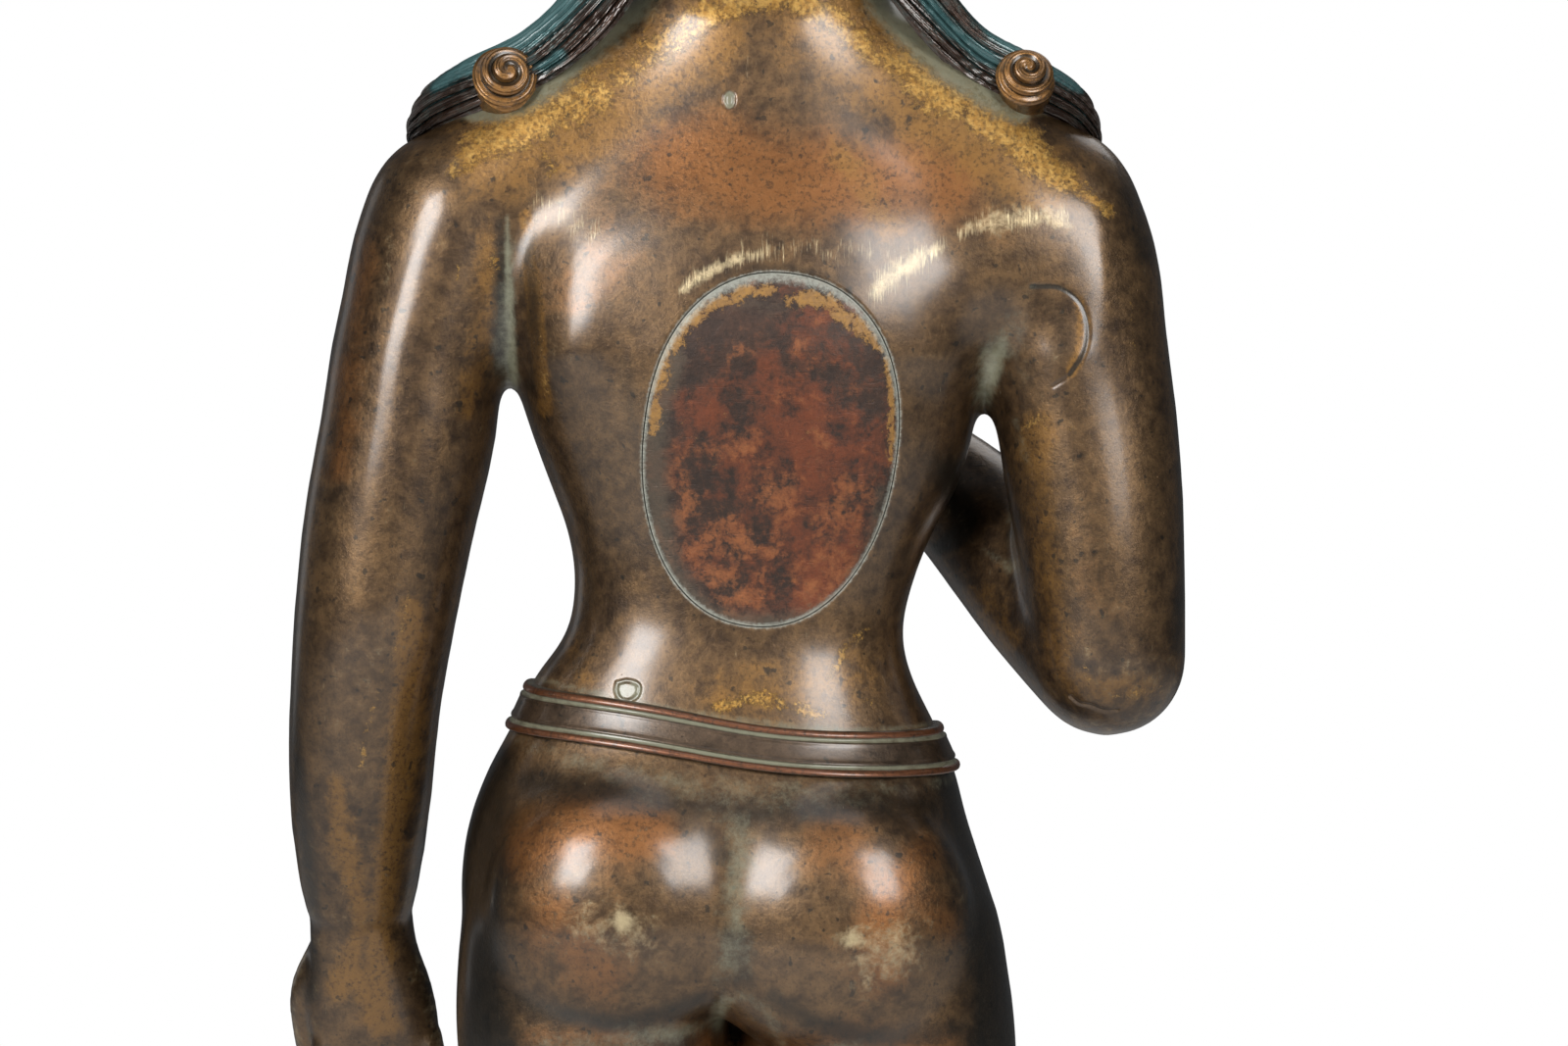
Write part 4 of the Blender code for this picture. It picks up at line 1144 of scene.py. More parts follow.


# Where each finish lies, painted shade, sheen and glints among them: shares from 0 to 1, kept on the skin's
# points

# Each ribbon: its strength, then pixels of the photograph that it runs through, with its reach there
GILT = [
    (1.0, [(468, 176, 16), (500, 150, 30), (545, 132, 40), (590, 112, 38), (640, 82, 34)]),
    (1.0, [(640, 82, 34), (680, 50, 30), (718, 26, 26), (760, 8, 26), (805, 0, 26)]),
    (1.0, [(805, 0, 26), (850, 26, 24), (880, 52, 26), (910, 70, 30), (955, 98, 32)]),
    (1.0, [(955, 98, 32), (1000, 125, 34), (1045, 158, 30), (1085, 190, 22), (1125, 218, 13)]),
    (0.75, [(560, 165, 26), (585, 150, 20)]),
    (0.50, [(540, 212, 7), (550, 250, 9), (552, 300, 8), (558, 370, 7), (564, 430, 5)]),
    (0.50, [(505, 225, 7), (508, 270, 8), (506, 330, 8)]),
    (0.60, [(1150, 305, 5), (1153, 360, 5)]),
    (0.90, [(735, 716, 9), (790, 714, 15), (838, 726, 9)]),
    (0.75, [(845, 692, 7), (864, 658, 9), (884, 640, 7)]),
    (0.55, [(880, 712, 8), (935, 731, 8)]),
    (0.65, [(1040, 440, 9), (1062, 428, 9), (1066, 458, 10)]),
    (0.65, [(1088, 442, 7), (1094, 436, 6)]),
    (0.45, [(1068, 520, 12), (1090, 528, 8)]),
    (0.60, [(1102, 668, 5), (1108, 692, 6)]),
    (0.55, [(1134, 708, 6), (1155, 706, 8), (1182, 700, 7)]),
    (0.60, [(424, 598, 4), (414, 640, 6), (396, 690, 8), (382, 730, 8), (370, 785, 6)]),
    (0.55, [(470, 290, 6), (480, 250, 6)]),
]
OCHRE = [
    (0.9, [(425, 620, 14), (420, 720, 20), (408, 800, 20), (395, 880, 16), (385, 960, 16), (380, 1040, 20)]),
    (0.7, [(345, 800, 14), (350, 850, 20), (365, 950, 14), (340, 1010, 20)]),
    (0.6, [(500, 240, 16), (500, 330, 18), (480, 420, 12)]),
    (1.1, [(540, 225, 6), (546, 290, 8), (553, 350, 9), (560, 420, 8)]),
    (0.6, [(1050, 440, 22), (1060, 520, 18), (1070, 600, 18), (1090, 690, 20), (1160, 700, 22)]),
    (0.8, [(840, 20, 60), (960, 120, 56), (1060, 190, 44)]),
    (0.8, [(510, 165, 50), (600, 120, 60), (720, 40, 50)]),
    (0.8, [(1096, 312, 7), (1101, 335, 8), (1099, 360, 8), (1088, 382, 7)]),
    (0.6, [(860, 165, 26), (905, 235, 24)]),
    (0.8, [(365, 1000, 24), (390, 1050, 24)]),
    (0.5, [(740, 710, 40), (870, 690, 40)]),
    (0.6, [(1000, 610, 22), (1030, 650, 22)]),
    (0.4, [(560, 600, 12), (600, 690, 16)]),
]
WARM = [
    (0.8, [(700, 170, 60), (820, 190, 60), (960, 190, 50)]),
    (0.25, [(640, 240, 50), (600, 300, 40)]),
    (0.8, [(540, 860, 34), (600, 835, 36), (670, 840, 30)]),
    (0.5, [(570, 930, 50), (620, 980, 40)]),
    (0.7, [(930, 870, 26), (900, 920, 34), (900, 980, 30)]),
    (0.5, [(850, 850, 40), (960, 930, 24)]),
    (0.5, [(380, 250, 20), (350, 480, 20)]),
    (0.2, [(1110, 520, 40), (1130, 620, 40)]),
    (0.5, [(560, 1060, 30), (960, 1060, 30)]),
]
# Pale grey-green dirt; the ribbons down the cleft and round the gap between the thighs paint a pale sheen
# instead
SAGE_AND_SHEEN = [
    (1.1, [(450, 112, 6), (500, 118, 13), (545, 100, 20), (590, 62, 21), (632, 26, 19), (660, -6, 19)]),
    (1.3, [(895, -5, 20), (940, 42, 26), (995, 88, 24), (1035, 116, 17)]),
    (0.9, [(1030, 118, 14), (1078, 112, 9), (1114, 130, 5)]),
    (0.55, [(521, 225, 3), (523, 290, 4), (526, 345, 6), (527, 390, 8)]),
    (0.48, [(1022, 345, 10), (1012, 375, 14), (1004, 402, 10)]),
    (0.30, [(1045, 295, 16), (1035, 340, 22), (1040, 385, 20)]),
    (0.42, [(520, 747, 9), (560, 764, 14), (640, 784, 20), (740, 802, 26), (850, 806, 22), (972, 792, 10)]),
    (0.60, [(545, 690, 4), (600, 703, 6), (700, 724, 7), (800, 738, 7), (900, 742, 6), (960, 736, 4)]),
    (0.28, [(640, 800, 14), (760, 820, 28), (860, 808, 18)]),
    # Down the cleft: a painted sheen, pale grey
    (0.5, [(760, 835, 22), (755, 900, 22), (752, 970, 24)]),
    # Round the gap between the thighs: a painted highlight on its rim
    (0.52, [(735, 1055, 9), (738, 1022, 9), (756, 1006, 9), (780, 1018, 10), (797, 1055, 11)]),
    (1.2, [(637, 702, 10), (649, 702, 10)]),
    (1.4, [(745, 104, 5), (745, 112, 5)]),
    (0.5, [(560, 1052, 18), (640, 1055, 18), (700, 1040, 14)]),
    (0.5, [(840, 1062, 14), (900, 1068, 12)]),
    (0.45, [(1035, 430, 8), (1045, 470, 8)]),
    (0.45, [(1005, 560, 6), (1030, 580, 8)]),
]
# Black patina, and painted shade: many ribbons darken creases, the fold under the buttocks and the sides of
# hips, shoulders and arms where shade falls
SOOT_AND_SHADE = [
    # Down the hips' outer sides: black patina and painted shade where they turn from the lamps
    (1.0, [(505, 780, 28), (490, 870, 38), (488, 980, 38), (500, 1060, 38)]),
    (1.0, [(975, 800, 30), (1005, 880, 38), (1015, 980, 38), (1015, 1060, 38)]),
    # Along the fold under the buttocks and on the thighs below it: painted shade
    (0.6, [(510, 1005, 20), (580, 1025, 16), (650, 1030, 16), (715, 1010, 14)]),
    (0.6, [(790, 1005, 14), (840, 1035, 16), (920, 1048, 16), (1000, 1035, 18)]),
    (0.45, [(520, 1060, 30), (600, 1064, 26), (700, 1055, 20)]),
    (0.45, [(830, 1062, 20), (920, 1070, 24)]),
    # Down the cleft between the buttocks: painted shade
    (0.5, [(705, 818, 30), (735, 862, 20)]),
    (0.55, [(755, 950, 22), (760, 985, 20)]),
    (0.45, [(795, 815, 22), (785, 852, 14)]),
    # On the outer sides of the shoulders: painted shade
    (0.55, [(1150, 195, 26), (1168, 260, 20)]),
    (0.35, [(400, 185, 26), (385, 230, 18)]),
    (0.3, [(1110, 520, 40), (1130, 620, 40)]),
    # Darker just under the belt
    (0.6, [(540, 795, 24), (640, 805, 20), (770, 822, 20), (880, 815, 20), (960, 820, 24)]),
    # Down the arms' outer sides and the left forearm's inner side: painted shade
    (0.6, [(345, 330, 10), (318, 450, 12), (304, 600, 12), (303, 760, 12), (315, 900, 14), (310, 1020, 16)]),
    (0.6, [(1185, 260, 12), (1198, 400, 10), (1205, 520, 10), (1198, 660, 12)]),
    (0.6, [(432, 850, 8), (425, 950, 10), (440, 1040, 14)]),
    (0.4, [(590, 480, 12), (605, 580, 12), (590, 680, 10)]),
    (0.4, [(925, 560, 10), (915, 620, 10)]),
    (0.9, [(965, 480, 26), (985, 540, 16), (960, 560, 10)]),
    (0.4, [(640, 370, 12), (655, 480, 12), (680, 600, 12)]),
    # Along and beside the left armpit crease: painted shade
    (0.5, [(514, 230, 8), (515, 300, 12), (518, 370, 14)]),
    (0.5, [(543, 250, 10), (548, 330, 12), (545, 395, 12)]),
    (0.4, [(1068, 310, 14), (1082, 345, 16), (1070, 375, 12)]),
    (0.45, [(700, 300, 12), (745, 283, 8), (800, 278, 8), (860, 292, 10)]),
    (1.0, [(1049, 296, 3), (1078, 298, 3), (1097, 313, 3), (1104, 335, 3), (1101, 361, 3), (1087, 384, 3)]),
]
# Rubbed brass, and painted glints: the ribbons on the left arm, the shoulder blades and the arc above the
# plate lie where highlights fall
RUB_AND_GLINT = [
    (0.70, [(640, 929, 13)]),
    (0.24, [(600, 930, 34), (655, 945, 30)]),
    (0.70, [(867, 946, 13)]),
    (0.34, [(885, 955, 30), (915, 955, 28), (885, 985, 20)]),
    # On the left shoulder blade and the left arm's back: painted highlights, as brass
    (0.35, [(590, 235, 14), (575, 210, 10)]),
    (0.25, [(404, 250, 6), (398, 300, 6)]),
    # Along the arc above the plate and the right shoulder blade: rubbed brass and painted glint
    (0.62, [(700, 300, 6), (725, 282, 8), (757, 269, 7)]),
    (0.55, [(892, 303, 9), (903, 290, 13), (926, 274, 11), (955, 257, 7)]),
    (0.50, [(985, 238, 10), (1025, 228, 14), (1078, 228, 14)]),
]
HATCH = [
    (0.60, [(550, 212, 14), (600, 240, 22)]),
    (1.0, [(697, 301, 7), (722, 284, 9), (752, 270, 9), (775, 264, 7)]),
    (1.0, [(892, 302, 13), (905, 287, 18), (928, 272, 14), (958, 256, 9)]),
    (0.9, [(975, 242, 9), (1020, 229, 12), (1080, 227, 12)]),
    (0.55, [(760, 262, 14), (830, 258, 14), (880, 262, 16), (935, 268, 18)]),
    (0.55, [(985, 232, 14), (1040, 222, 14), (1085, 228, 12)]),
]
HAIR_BLUE = [
    (1.0, [(584, -10, 18), (572, 5, 17), (545, 32, 15), (510, 53, 13), (470, 74, 9), (446, 90, 5)]),
    (0.8, [(575, 62, 5), (556, 74, 5)]),
    (1.0, [(980, -5, 7), (1004, 24, 8), (1030, 48, 8), (1070, 70, 8), (1100, 92, 5)]),
    (0.9, [(935, -5, 6), (955, 22, 6), (985, 50, 6), (1010, 66, 6)]),
]
PLATE_GILT = [
    (0.95, [(668, 440, 7), (674, 395, 11), (690, 352, 12), (720, 322, 11), (755, 305, 9), (790, 300, 6)]),
    (1.0, [(806, 312, 9), (830, 308, 12), (855, 322, 12), (880, 342, 9), (897, 360, 6)]),
    (0.90, [(903, 370, 5), (908, 410, 6), (908, 470, 5)]),
]
PLATE_VEIL = [
    (0.9, [(690, 370, 16), (672, 440, 16), (672, 520, 20), (690, 590, 20), (730, 630, 16), (790, 636, 14)]),
    (0.7, [(790, 636, 14), (850, 620, 16), (885, 570, 14), (898, 500, 9)]),
    (0.5, [(760, 312, 14), (800, 318, 12)]),
]


def ribbon_share(places, ribbons):
    """How strongly each place, seen from behind, lies on one of the ribbons."""
    total = np.zeros(len(places))
    for strength, points in ribbons:
        rows = [(*photo_point(px, py), reach / PIXELS_PER_FINGER) for px, py, reach in points]
        if len(rows) > 1:
            at = np.array([(x, z, 0.0, reach) for x, z, reach in rows])
            length = np.linalg.norm(np.diff(at[:, :2], axis=0), axis=1).sum()
            samples = smooth_rows(at, max(2, int(length / (0.5 * at[:, 3].min()))))
            rows = [(r[0], r[1], r[3]) for r in samples]
        rows = np.array(rows)
        low = rows[:, :2].min(axis=0) - 2.2 * rows[:, 2].max()
        high = rows[:, :2].max(axis=0) + 2.2 * rows[:, 2].max()
        flat = places[:, [0, 2]]
        near = np.where(((flat > low) & (flat < high)).all(axis=1))[0]
        least = np.full(len(near), FAR)
        for x, z, reach in rows:
            gap = (flat[near, 0] - x) ** 2 + (flat[near, 1] - z) ** 2
            least = np.minimum(least, gap / reach**2)
        total[near] = np.maximum(total[near], strength * np.exp(-least))
    return total


def on_both_sides(places, behind, ribbons):
    """The ribbons behind as in the photograph, and turned round on the unseen front."""
    seen = ribbon_share(places, ribbons)
    unseen = ribbon_share(places * np.array([-1, 1, 1]), ribbons)
    return seen * behind + unseen * (1 - behind)


def hollowness(obj, rounds):
    """How far each point lies below the skin smoothed round it, in metres; hollows are above 0."""
    places = vertex_places(obj)
    average = neighbour_average(obj)
    smooth = places.copy()
    for _ in range(rounds):
        smooth = 0.5 * smooth + 0.5 * average(smooth)
    return ((smooth - places) * vertex_normals(obj)).sum(axis=1)


def keep_share(obj, name, values):
    """Keeps one number for each of obj's points, in place of any kept under the name before."""
    kept = obj.data.attributes
    if name in kept:
        kept.remove(kept[name])
    attribute = kept.new(name, "FLOAT", "POINT")
    values = np.clip(values + np.zeros(len(obj.data.vertices)), 0, 1)
    attribute.data.foreach_set("value", values.astype(np.float32))


HOLLOW_DEPTH = 0.0006  # metres, from where a hollow is full of dirt and painted shade or a ridge wholly worn


def lay_finishes(obj, base, rounds=40, lines=(), worn=0.35, hollow_shade=0.35, seen=False):
    """Keeps on obj's points the share of each finish, which starts from base.

    rounds is how wide the hollows are that hold dirt and painted shade, worn how bare the ridges are,
    and the argument after worn how black the hollows are painted, as shade. Only skin that is seen takes the
    photograph's ribbons.
    """
    places = to_fingers(vertex_places(obj))
    normals = vertex_normals(obj)
    behind = np.clip(normals[:, 1] * 3 + 0.6, 0, 1)
    hollow = np.clip(hollowness(obj, rounds) / HOLLOW_DEPTH, -1, 1)
    dip = np.clip(hollow, 0, 1)
    ridge = np.clip(-hollow, 0, 1)
    shares = {
        "gilt": (GILT, 0.0),
        "ochre": (OCHRE, 0.0),
        "warm": (WARM, 0.0),
        "deposit_and_sheen": (SAGE_AND_SHEEN, 0.45 * dip),
        # Black laid deeper the deeper a hollow is: painted shade
        "soot_and_shade": (SOOT_AND_SHADE, hollow_shade * dip),
        "rub_and_glint": (RUB_AND_GLINT, worn * ridge),
        "hatch": (HATCH, 0.0),
    }
    for name, (ribbons, extra) in shares.items():
        laid = on_both_sides(places, behind, ribbons) if seen else 0.0
        keep_share(obj, name, laid + extra + base.get(name, 0.0))
    seam = np.zeros(len(places))
    back = np.where(normals[:, 1] > 0.0)[0]
    for line, reach in lines:
        gap = distance_to_line(places[back][:, [0, 2]], line) * FINGER
        reach = reach(places[back, 2]) if callable(reach) else reach
        seam[back] = np.maximum(seam[back], np.exp(-((gap / reach) ** 2)))
    keep_share(obj, "seam", seam)


# Shader nodes


class Finish:
    """A material under construction: short words for the nodes that it uses."""

    def __init__(self, name):
        self.material = bpy.data.materials.new(name)
        self.material.use_nodes = True
        self.tree = self.material.node_tree
        self.shader = self.tree.nodes["Principled BSDF"]
        self.place = self.tree.nodes.new("ShaderNodeTexCoord").outputs["Object"]

    def link(self, source, socket):
        self.tree.links.new(source, socket)

    def put(self, node, index, value):
        if isinstance(value, bpy.types.NodeSocket):
            self.link(value, node.inputs[index])
        else:
            node.inputs[index].default_value = value

    def share(self, name):
        node = self.tree.nodes.new("ShaderNodeAttribute")
        node.attribute_name = name
        return node.outputs["Fac"]

    def noise(self, scale, detail=4.0, roughness=0.55, distortion=0.0, stretch=None):
        node = self.tree.nodes.new("ShaderNodeTexNoise")
        node.inputs["Scale"].default_value = scale
        node.inputs["Detail"].default_value = detail
        node.inputs["Roughness"].default_value = roughness
        node.inputs["Distortion"].default_value = distortion
        self.link(self.stretched(stretch) if stretch else self.place, node.inputs["Vector"])
        return node.outputs["Fac"]

    def stretched(self, stretch):
        node = self.tree.nodes.new("ShaderNodeMapping")
        node.inputs["Scale"].default_value = stretch
        self.link(self.place, node.inputs["Vector"])
        return node.outputs["Vector"]

    def cells(self, scale):
        node = self.tree.nodes.new("ShaderNodeTexVoronoi")
        node.inputs["Scale"].default_value = scale
        self.link(self.place, node.inputs["Vector"])
        return node.outputs["Distance"]

    def maths(self, operation, a, b):
        node = self.tree.nodes.new("ShaderNodeMath")
        node.operation = operation
        self.put(node, 0, a)
        self.put(node, 1, b)
        return node.outputs[0]

    def sum(self, total, *terms):
        for term in terms:
            total = self.maths("ADD", total, term)
        return total

    def times(self, a, b):
        return self.maths("MULTIPLY", a, b)

    def most(self, a, b):
        return self.maths("MAXIMUM", a, b)

    def step(self, value, low, high, to_low=0.0, to_high=1.0):
        """value spread from low and high to to_low and to_high, and held there beyond."""
        node = self.tree.nodes.new("ShaderNodeMapRange")
        node.interpolation_type = "SMOOTHSTEP"
        for index, number in enumerate((value, low, high, to_low, to_high)):
            self.put(node, index, number)
        return node.outputs[0]

    def mix(self, share, a, b):
        node = self.tree.nodes.new("ShaderNodeMix")
        node.data_type = "RGBA"
        node.clamp_factor = True
        self.put(node, 0, share)
        for index, value in ((6, a), (7, b)):
            self.put(node, index, (*value, 1.0) if isinstance(value, tuple) else value)
        return node.outputs[2]

    def blend(self, share, a, b):
        node = self.tree.nodes.new("ShaderNodeMix")
        node.data_type = "FLOAT"
        self.put(node, 0, share)
        self.put(node, 2, a)
        self.put(node, 3, b)
        return node.outputs[0]

    def bump(self, height, depth, normal=None):
        node = self.tree.nodes.new("ShaderNodeBump")
        node.inputs["Strength"].default_value = 1.0
        node.inputs["Distance"].default_value = depth
        self.link(height, node.inputs["Height"])
        if normal is not None:
            self.link(normal, node.inputs["Normal"])
        return node.outputs["Normal"]


UMBER = (0.036, 0.020, 0.010)
BROWN = (0.155, 0.088, 0.037)
CHESTNUT = (0.225, 0.088, 0.023)
OCHRE_BROWN = (0.215, 0.105, 0.023)
# Bare brass, also laid as painted glints
BRASS_AND_GLINT = (0.60, 0.49, 0.29)
GOLD = (0.310, 0.155, 0.027)
PALE_GOLD = (0.500, 0.300, 0.078)
# Pale dirt, also laid as a painted sheen
SAGE_DIRT_AND_SHEEN = (0.190, 0.190, 0.125)
# Black patina, also laid as painted shade
BLACK_PATINA_AND_SHADE = (0.013, 0.012, 0.009)
BLUE_GREEN = (0.036, 0.105, 0.108)
SEAM_GREY = (0.330, 0.340, 0.290)
PLATE_RED = (0.150, 0.036, 0.011)
PLATE_ORANGE = (0.290, 0.100, 0.032)
PLATE_BROWN = (0.058, 0.027, 0.015)
PLATE_DARK = (0.022, 0.012, 0.008)
PLATE_VEIL_GREY = (0.072, 0.056, 0.038)


def bronze(name, dark=UMBER, middle=BROWN, warm=CHESTNUT, pigment=None, polish=0.36):
    """Worn bronze: brown patina, then ochre, rubbed brass with painted glints, black patina with painted
    shade, pale dirt with a painted sheen, and flaked gilding.
    """
    f = Finish(name)
    cloud = f.noise(17, 3, 0.5)
    drift = f.noise(60, 5, 0.6, 0.5)
    mottle = f.noise(240, 6, 0.65, 0.3)
    speckle = f.noise(760, 4, 0.65)
    tone = f.sum(f.times(cloud, 0.25), f.times(drift, 0.25), f.times(mottle, 0.5), f.times(speckle, 0.25))
    colour = f.mix(f.step(tone, 0.46, 0.76), dark, middle)
    warmth = f.step(f.sum(f.share("warm"), drift, f.times(mottle, 0.5)), 0.85, 1.55)
    colour = f.mix(f.times(warmth, 0.85), colour, warm)
    ochre = f.step(f.sum(f.share("ochre"), mottle, f.times(drift, 0.5)), 0.95, 1.5)
    colour = f.mix(f.times(ochre, 0.8), colour, OCHRE_BROWN)
    colour = f.mix(f.step(speckle, 0.46, 0.68, 0.0, 0.66), colour, dark)
    spots = f.step(f.noise(310, 2, 0.5), 0.665, 0.72, 0.0, 0.7)
    colour = f.mix(spots, colour, BLACK_PATINA_AND_SHADE)
    if pigment:
        lodged = f.step(f.sum(f.share("deposit_and_sheen"), f.times(mottle, 0.8)), 0.42, 0.85)
        colour = f.mix(f.times(lodged, 0.9), colour, pigment)
    # Black patina, and painted shade in hollows, creases and on sides turned from the lamps
    soot_and_shade = f.step(f.sum(f.share("soot_and_shade"), f.times(drift, 0.7)), 0.50, 1.15)
    colour = f.mix(f.times(soot_and_shade, 0.88), colour, BLACK_PATINA_AND_SHADE)
    # Rubbed brass, and painted glints where highlights fall
    rub_and_glint = f.step(f.sum(f.share("rub_and_glint"), f.sum(mottle, f.times(speckle, 0.5))), 1.0, 1.65)
    strokes = f.noise(1, 3, 0.6, 0.3, (2300, 700, 190))
    broken = f.times(f.noise(1, 2, 0.5, 0.0, (350, 300, 180)), 0.5)
    scratched = f.step(f.sum(strokes, broken, f.times(f.share("hatch"), 0.40)), 0.94, 1.42)
    # Bare brass from rubs, painted glints and scratches
    bare = f.most(rub_and_glint, scratched)
    colour = f.mix(f.times(bare, 0.8), colour, BRASS_AND_GLINT)
    flakes = f.sum(f.noise(80, 13, 0.86, 0.2), f.times(f.noise(1200, 5, 0.75), 0.40))
    gilt = f.step(f.sum(flakes, f.times(f.share("gilt"), 0.30)), 0.89, 0.97)
    gold = f.mix(f.step(f.noise(560, 5, 0.7), 0.35, 0.7), GOLD, PALE_GOLD)
    gold = f.mix(f.step(speckle, 0.44, 0.66, 0.0, 0.6), gold, dark)
    colour = f.mix(f.times(gilt, 0.88), colour, gold)
    # Pale dirt, and a painted sheen down the cleft and round the gap between the thighs
    deposit_and_sheen = f.step(f.sum(f.share("deposit_and_sheen"), f.times(f.noise(260, 10, 0.80, 0.2), 1.5)), 0.98, 1.85)
    if not pigment:
        colour = f.mix(f.times(deposit_and_sheen, 0.85), colour, SAGE_DIRT_AND_SHEEN)
    seam = seam_filler(f)
    colour = f.mix(f.times(seam, 0.8), colour, SEAM_GREY)
    f.link(colour, f.shader.inputs["Base Color"])
    cover = f.most(deposit_and_sheen, seam)
    metal = f.blend(gilt, f.blend(cover, 0.74, 0.25), 0.8)
    f.link(f.sum(metal, f.times(bare, 0.2)), f.shader.inputs["Metallic"])
    rough = f.step(f.sum(mottle, f.times(speckle, 0.4)), 0.4, 1.0, polish - 0.04, polish + 0.12)
    rough = f.blend(gilt, rough, 0.48)
    rough = f.blend(cover, rough, 0.68)
    f.link(rough, f.shader.inputs["Roughness"])
    f.shader.inputs["Coat Weight"].default_value = 0.8
    f.shader.inputs["Coat Roughness"].default_value = 0.21
    lay_relief(f, gilt, scratched)
    return f.material


def seam_filler(f):
    """Where the pale filler beside the plate's seam lies, in grains."""
    return f.step(f.sum(f.share("seam"), f.times(f.noise(900, 6, 0.8), 1.7)), 1.15, 2.0)


GRAIN_DEPTH = 0.00016
HAMMER_DEPTH = 0.0006


def lay_relief(f, gilt, scratched):
    """Cast grain, pin holes, the edge of the gilding and scratches, as bump."""
    pits = f.step(f.cells(430), 0.0, 0.14, -1.0, 0.0)
    sparse = f.step(f.noise(120, 2), 0.55, 0.64)
    grain = f.sum(f.noise(900, 6, 0.7), f.times(pits, sparse))
    grain = f.sum(grain, f.times(gilt, 0.3), f.times(scratched, -0.3))
    hammer = f.bump(f.noise(75, 3, 0.5), HAMMER_DEPTH)
    f.link(f.bump(grain, GRAIN_DEPTH, hammer), f.shader.inputs["Normal"])


def plate_finish():
    """The let-in plate: red and purple-brown patina in fine clouds, ochre and grey at its edge."""
    f = Finish("plate_bronze")
    cloud = f.noise(34, 4, 0.6, 0.3)
    mottle = f.noise(150, 7, 0.7, 0.2)
    fine = f.noise(620, 5, 0.7)
    half_fine = f.times(fine, 0.5)
    low = f.times(f.share("warm"), 0.16)
    red = f.step(f.sum(cloud, mottle, half_fine, low), 1.20, 1.55)
    colour = f.mix(f.step(f.sum(mottle, half_fine), 0.55, 0.95), PLATE_DARK, PLATE_BROWN)
    colour = f.mix(f.times(red, 0.9), colour, PLATE_RED)
    glow = f.step(f.sum(f.noise(95, 6, 0.7), mottle, half_fine, low), 1.36, 1.66)
    colour = f.mix(f.times(glow, 0.8), colour, PLATE_ORANGE)
    colour = f.mix(f.step(fine, 0.48, 0.72, 0.0, 0.5), colour, PLATE_DARK)
    veil = f.step(f.sum(f.share("deposit_and_sheen"), f.sum(mottle, fine)), 1.15, 1.95, 0.0, 0.8)
    colour = f.mix(veil, colour, PLATE_VEIL_GREY)
    flakes = f.sum(f.noise(260, 9, 0.76, 0.6), f.times(f.noise(900, 5, 0.7), 0.4))
    gilt = f.step(f.sum(flakes, f.times(f.share("gilt"), 0.30)), 0.84, 0.96)
    gold = f.mix(f.step(fine, 0.35, 0.65), OCHRE_BROWN, GOLD)
    colour = f.mix(f.times(gilt, 0.85), colour, gold)
    seam = seam_filler(f)
    colour = f.mix(f.times(seam, 0.8), colour, SEAM_GREY)
    f.link(colour, f.shader.inputs["Base Color"])
    f.link(f.blend(f.most(gilt, seam), 0.45, 0.2), f.shader.inputs["Metallic"])
    f.link(f.blend(seam, f.step(fine, 0.3, 0.7, 0.40, 0.52), 0.62), f.shader.inputs["Roughness"])
    f.shader.inputs["Coat Weight"].default_value = 0.15
    f.shader.inputs["Coat Roughness"].default_value = 0.3
    strokes = f.step(f.noise(1, 2, 0.5, 0.0, (160, 400, 1500)), 0.62, 0.70)
    lay_relief(f, gilt, strokes)
    return f.material


# Lights, floor and camera

LIT_POINT = (0.0, 0.02, 0.50)
LIGHTS = (  # name, azimuth and elevation from the lit point, distance, size and power
    ("left_box", 148, 20, 1.7, (0.50, 0.8), 26),
    ("right_box", 211, 20, 1.7, (0.50, 0.8), 18),
    ("top_box", 180, 66, 1.6, (1.2, 0.5), 3),
    ("front_box", -25, 45, 2.2, (1.2, 1.2), 6),
    ("front_low", 50, 10, 2.2, (0.6, 1.2), 1.2),
)
ROOM_COLOUR = (0.9, 0.95, 1, 1)
ROOM_STRENGTH = 0.06
FLOOR_RADIUS = 2.2
FLOOR_COLOUR = (0.80, 0.80, 0.79, 1)
FLOOR_ROUGHNESS = 0.85
FILM_WIDTH = 36  # mm


def area_light(name, place, aim, size, power):
    light = bpy.data.lights.new(name, "AREA")
    light.shape = "RECTANGLE"
    light.size, light.size_y = size
    light.energy = power
    obj = bpy.data.objects.new(name, light)
    obj.location = place
    obj.rotation_euler = (Vector(aim) - Vector(place)).to_track_quat("-Z", "Y").to_euler()
    bpy.context.scene.collection.objects.link(obj)


def from_target(azimuth, elevation, distance, target):
    """A place seen from target: azimuth 0 is the figure's front and 180 its back."""
    a, e = math.radians(azimuth), math.radians(elevation)
    away = Vector((math.sin(a) * math.cos(e), -math.cos(a) * math.cos(e), math.sin(e)))
    return Vector(target) + away * distance


def light_studio():
    """Soft boxes round the figure in a dim room, before paper that only the camera sees."""
    for name, azimuth, elevation, distance, size, power in LIGHTS:
        area_light(name, from_target(azimuth, elevation, distance, LIT_POINT), LIT_POINT, size, power)
    world = bpy.data.worlds.new("studio")
    world.use_nodes = True
    tree = world.node_tree
    seen = tree.nodes.new("ShaderNodeLightPath").outputs["Is Camera Ray"]
    mix = tree.nodes.new("ShaderNodeMixShader")
    paper = tree.nodes.new("ShaderNodeBackground")
    paper.inputs["Color"].default_value = (1, 1, 1, 1)
    paper.inputs["Strength"].default_value = 1.0
    room = tree.nodes["Background"]
    room.inputs["Color"].default_value = ROOM_COLOUR
    room.inputs["Strength"].default_value = ROOM_STRENGTH
    tree.links.new(seen, mix.inputs[0])
    tree.links.new(room.outputs[0], mix.inputs[1])
    tree.links.new(paper.outputs[0], mix.inputs[2])
    tree.links.new(mix.outputs[0], tree.nodes["World Output"].inputs["Surface"])
    bpy.context.scene.world = world
    bpy.context.scene.view_settings.view_transform = "Standard"


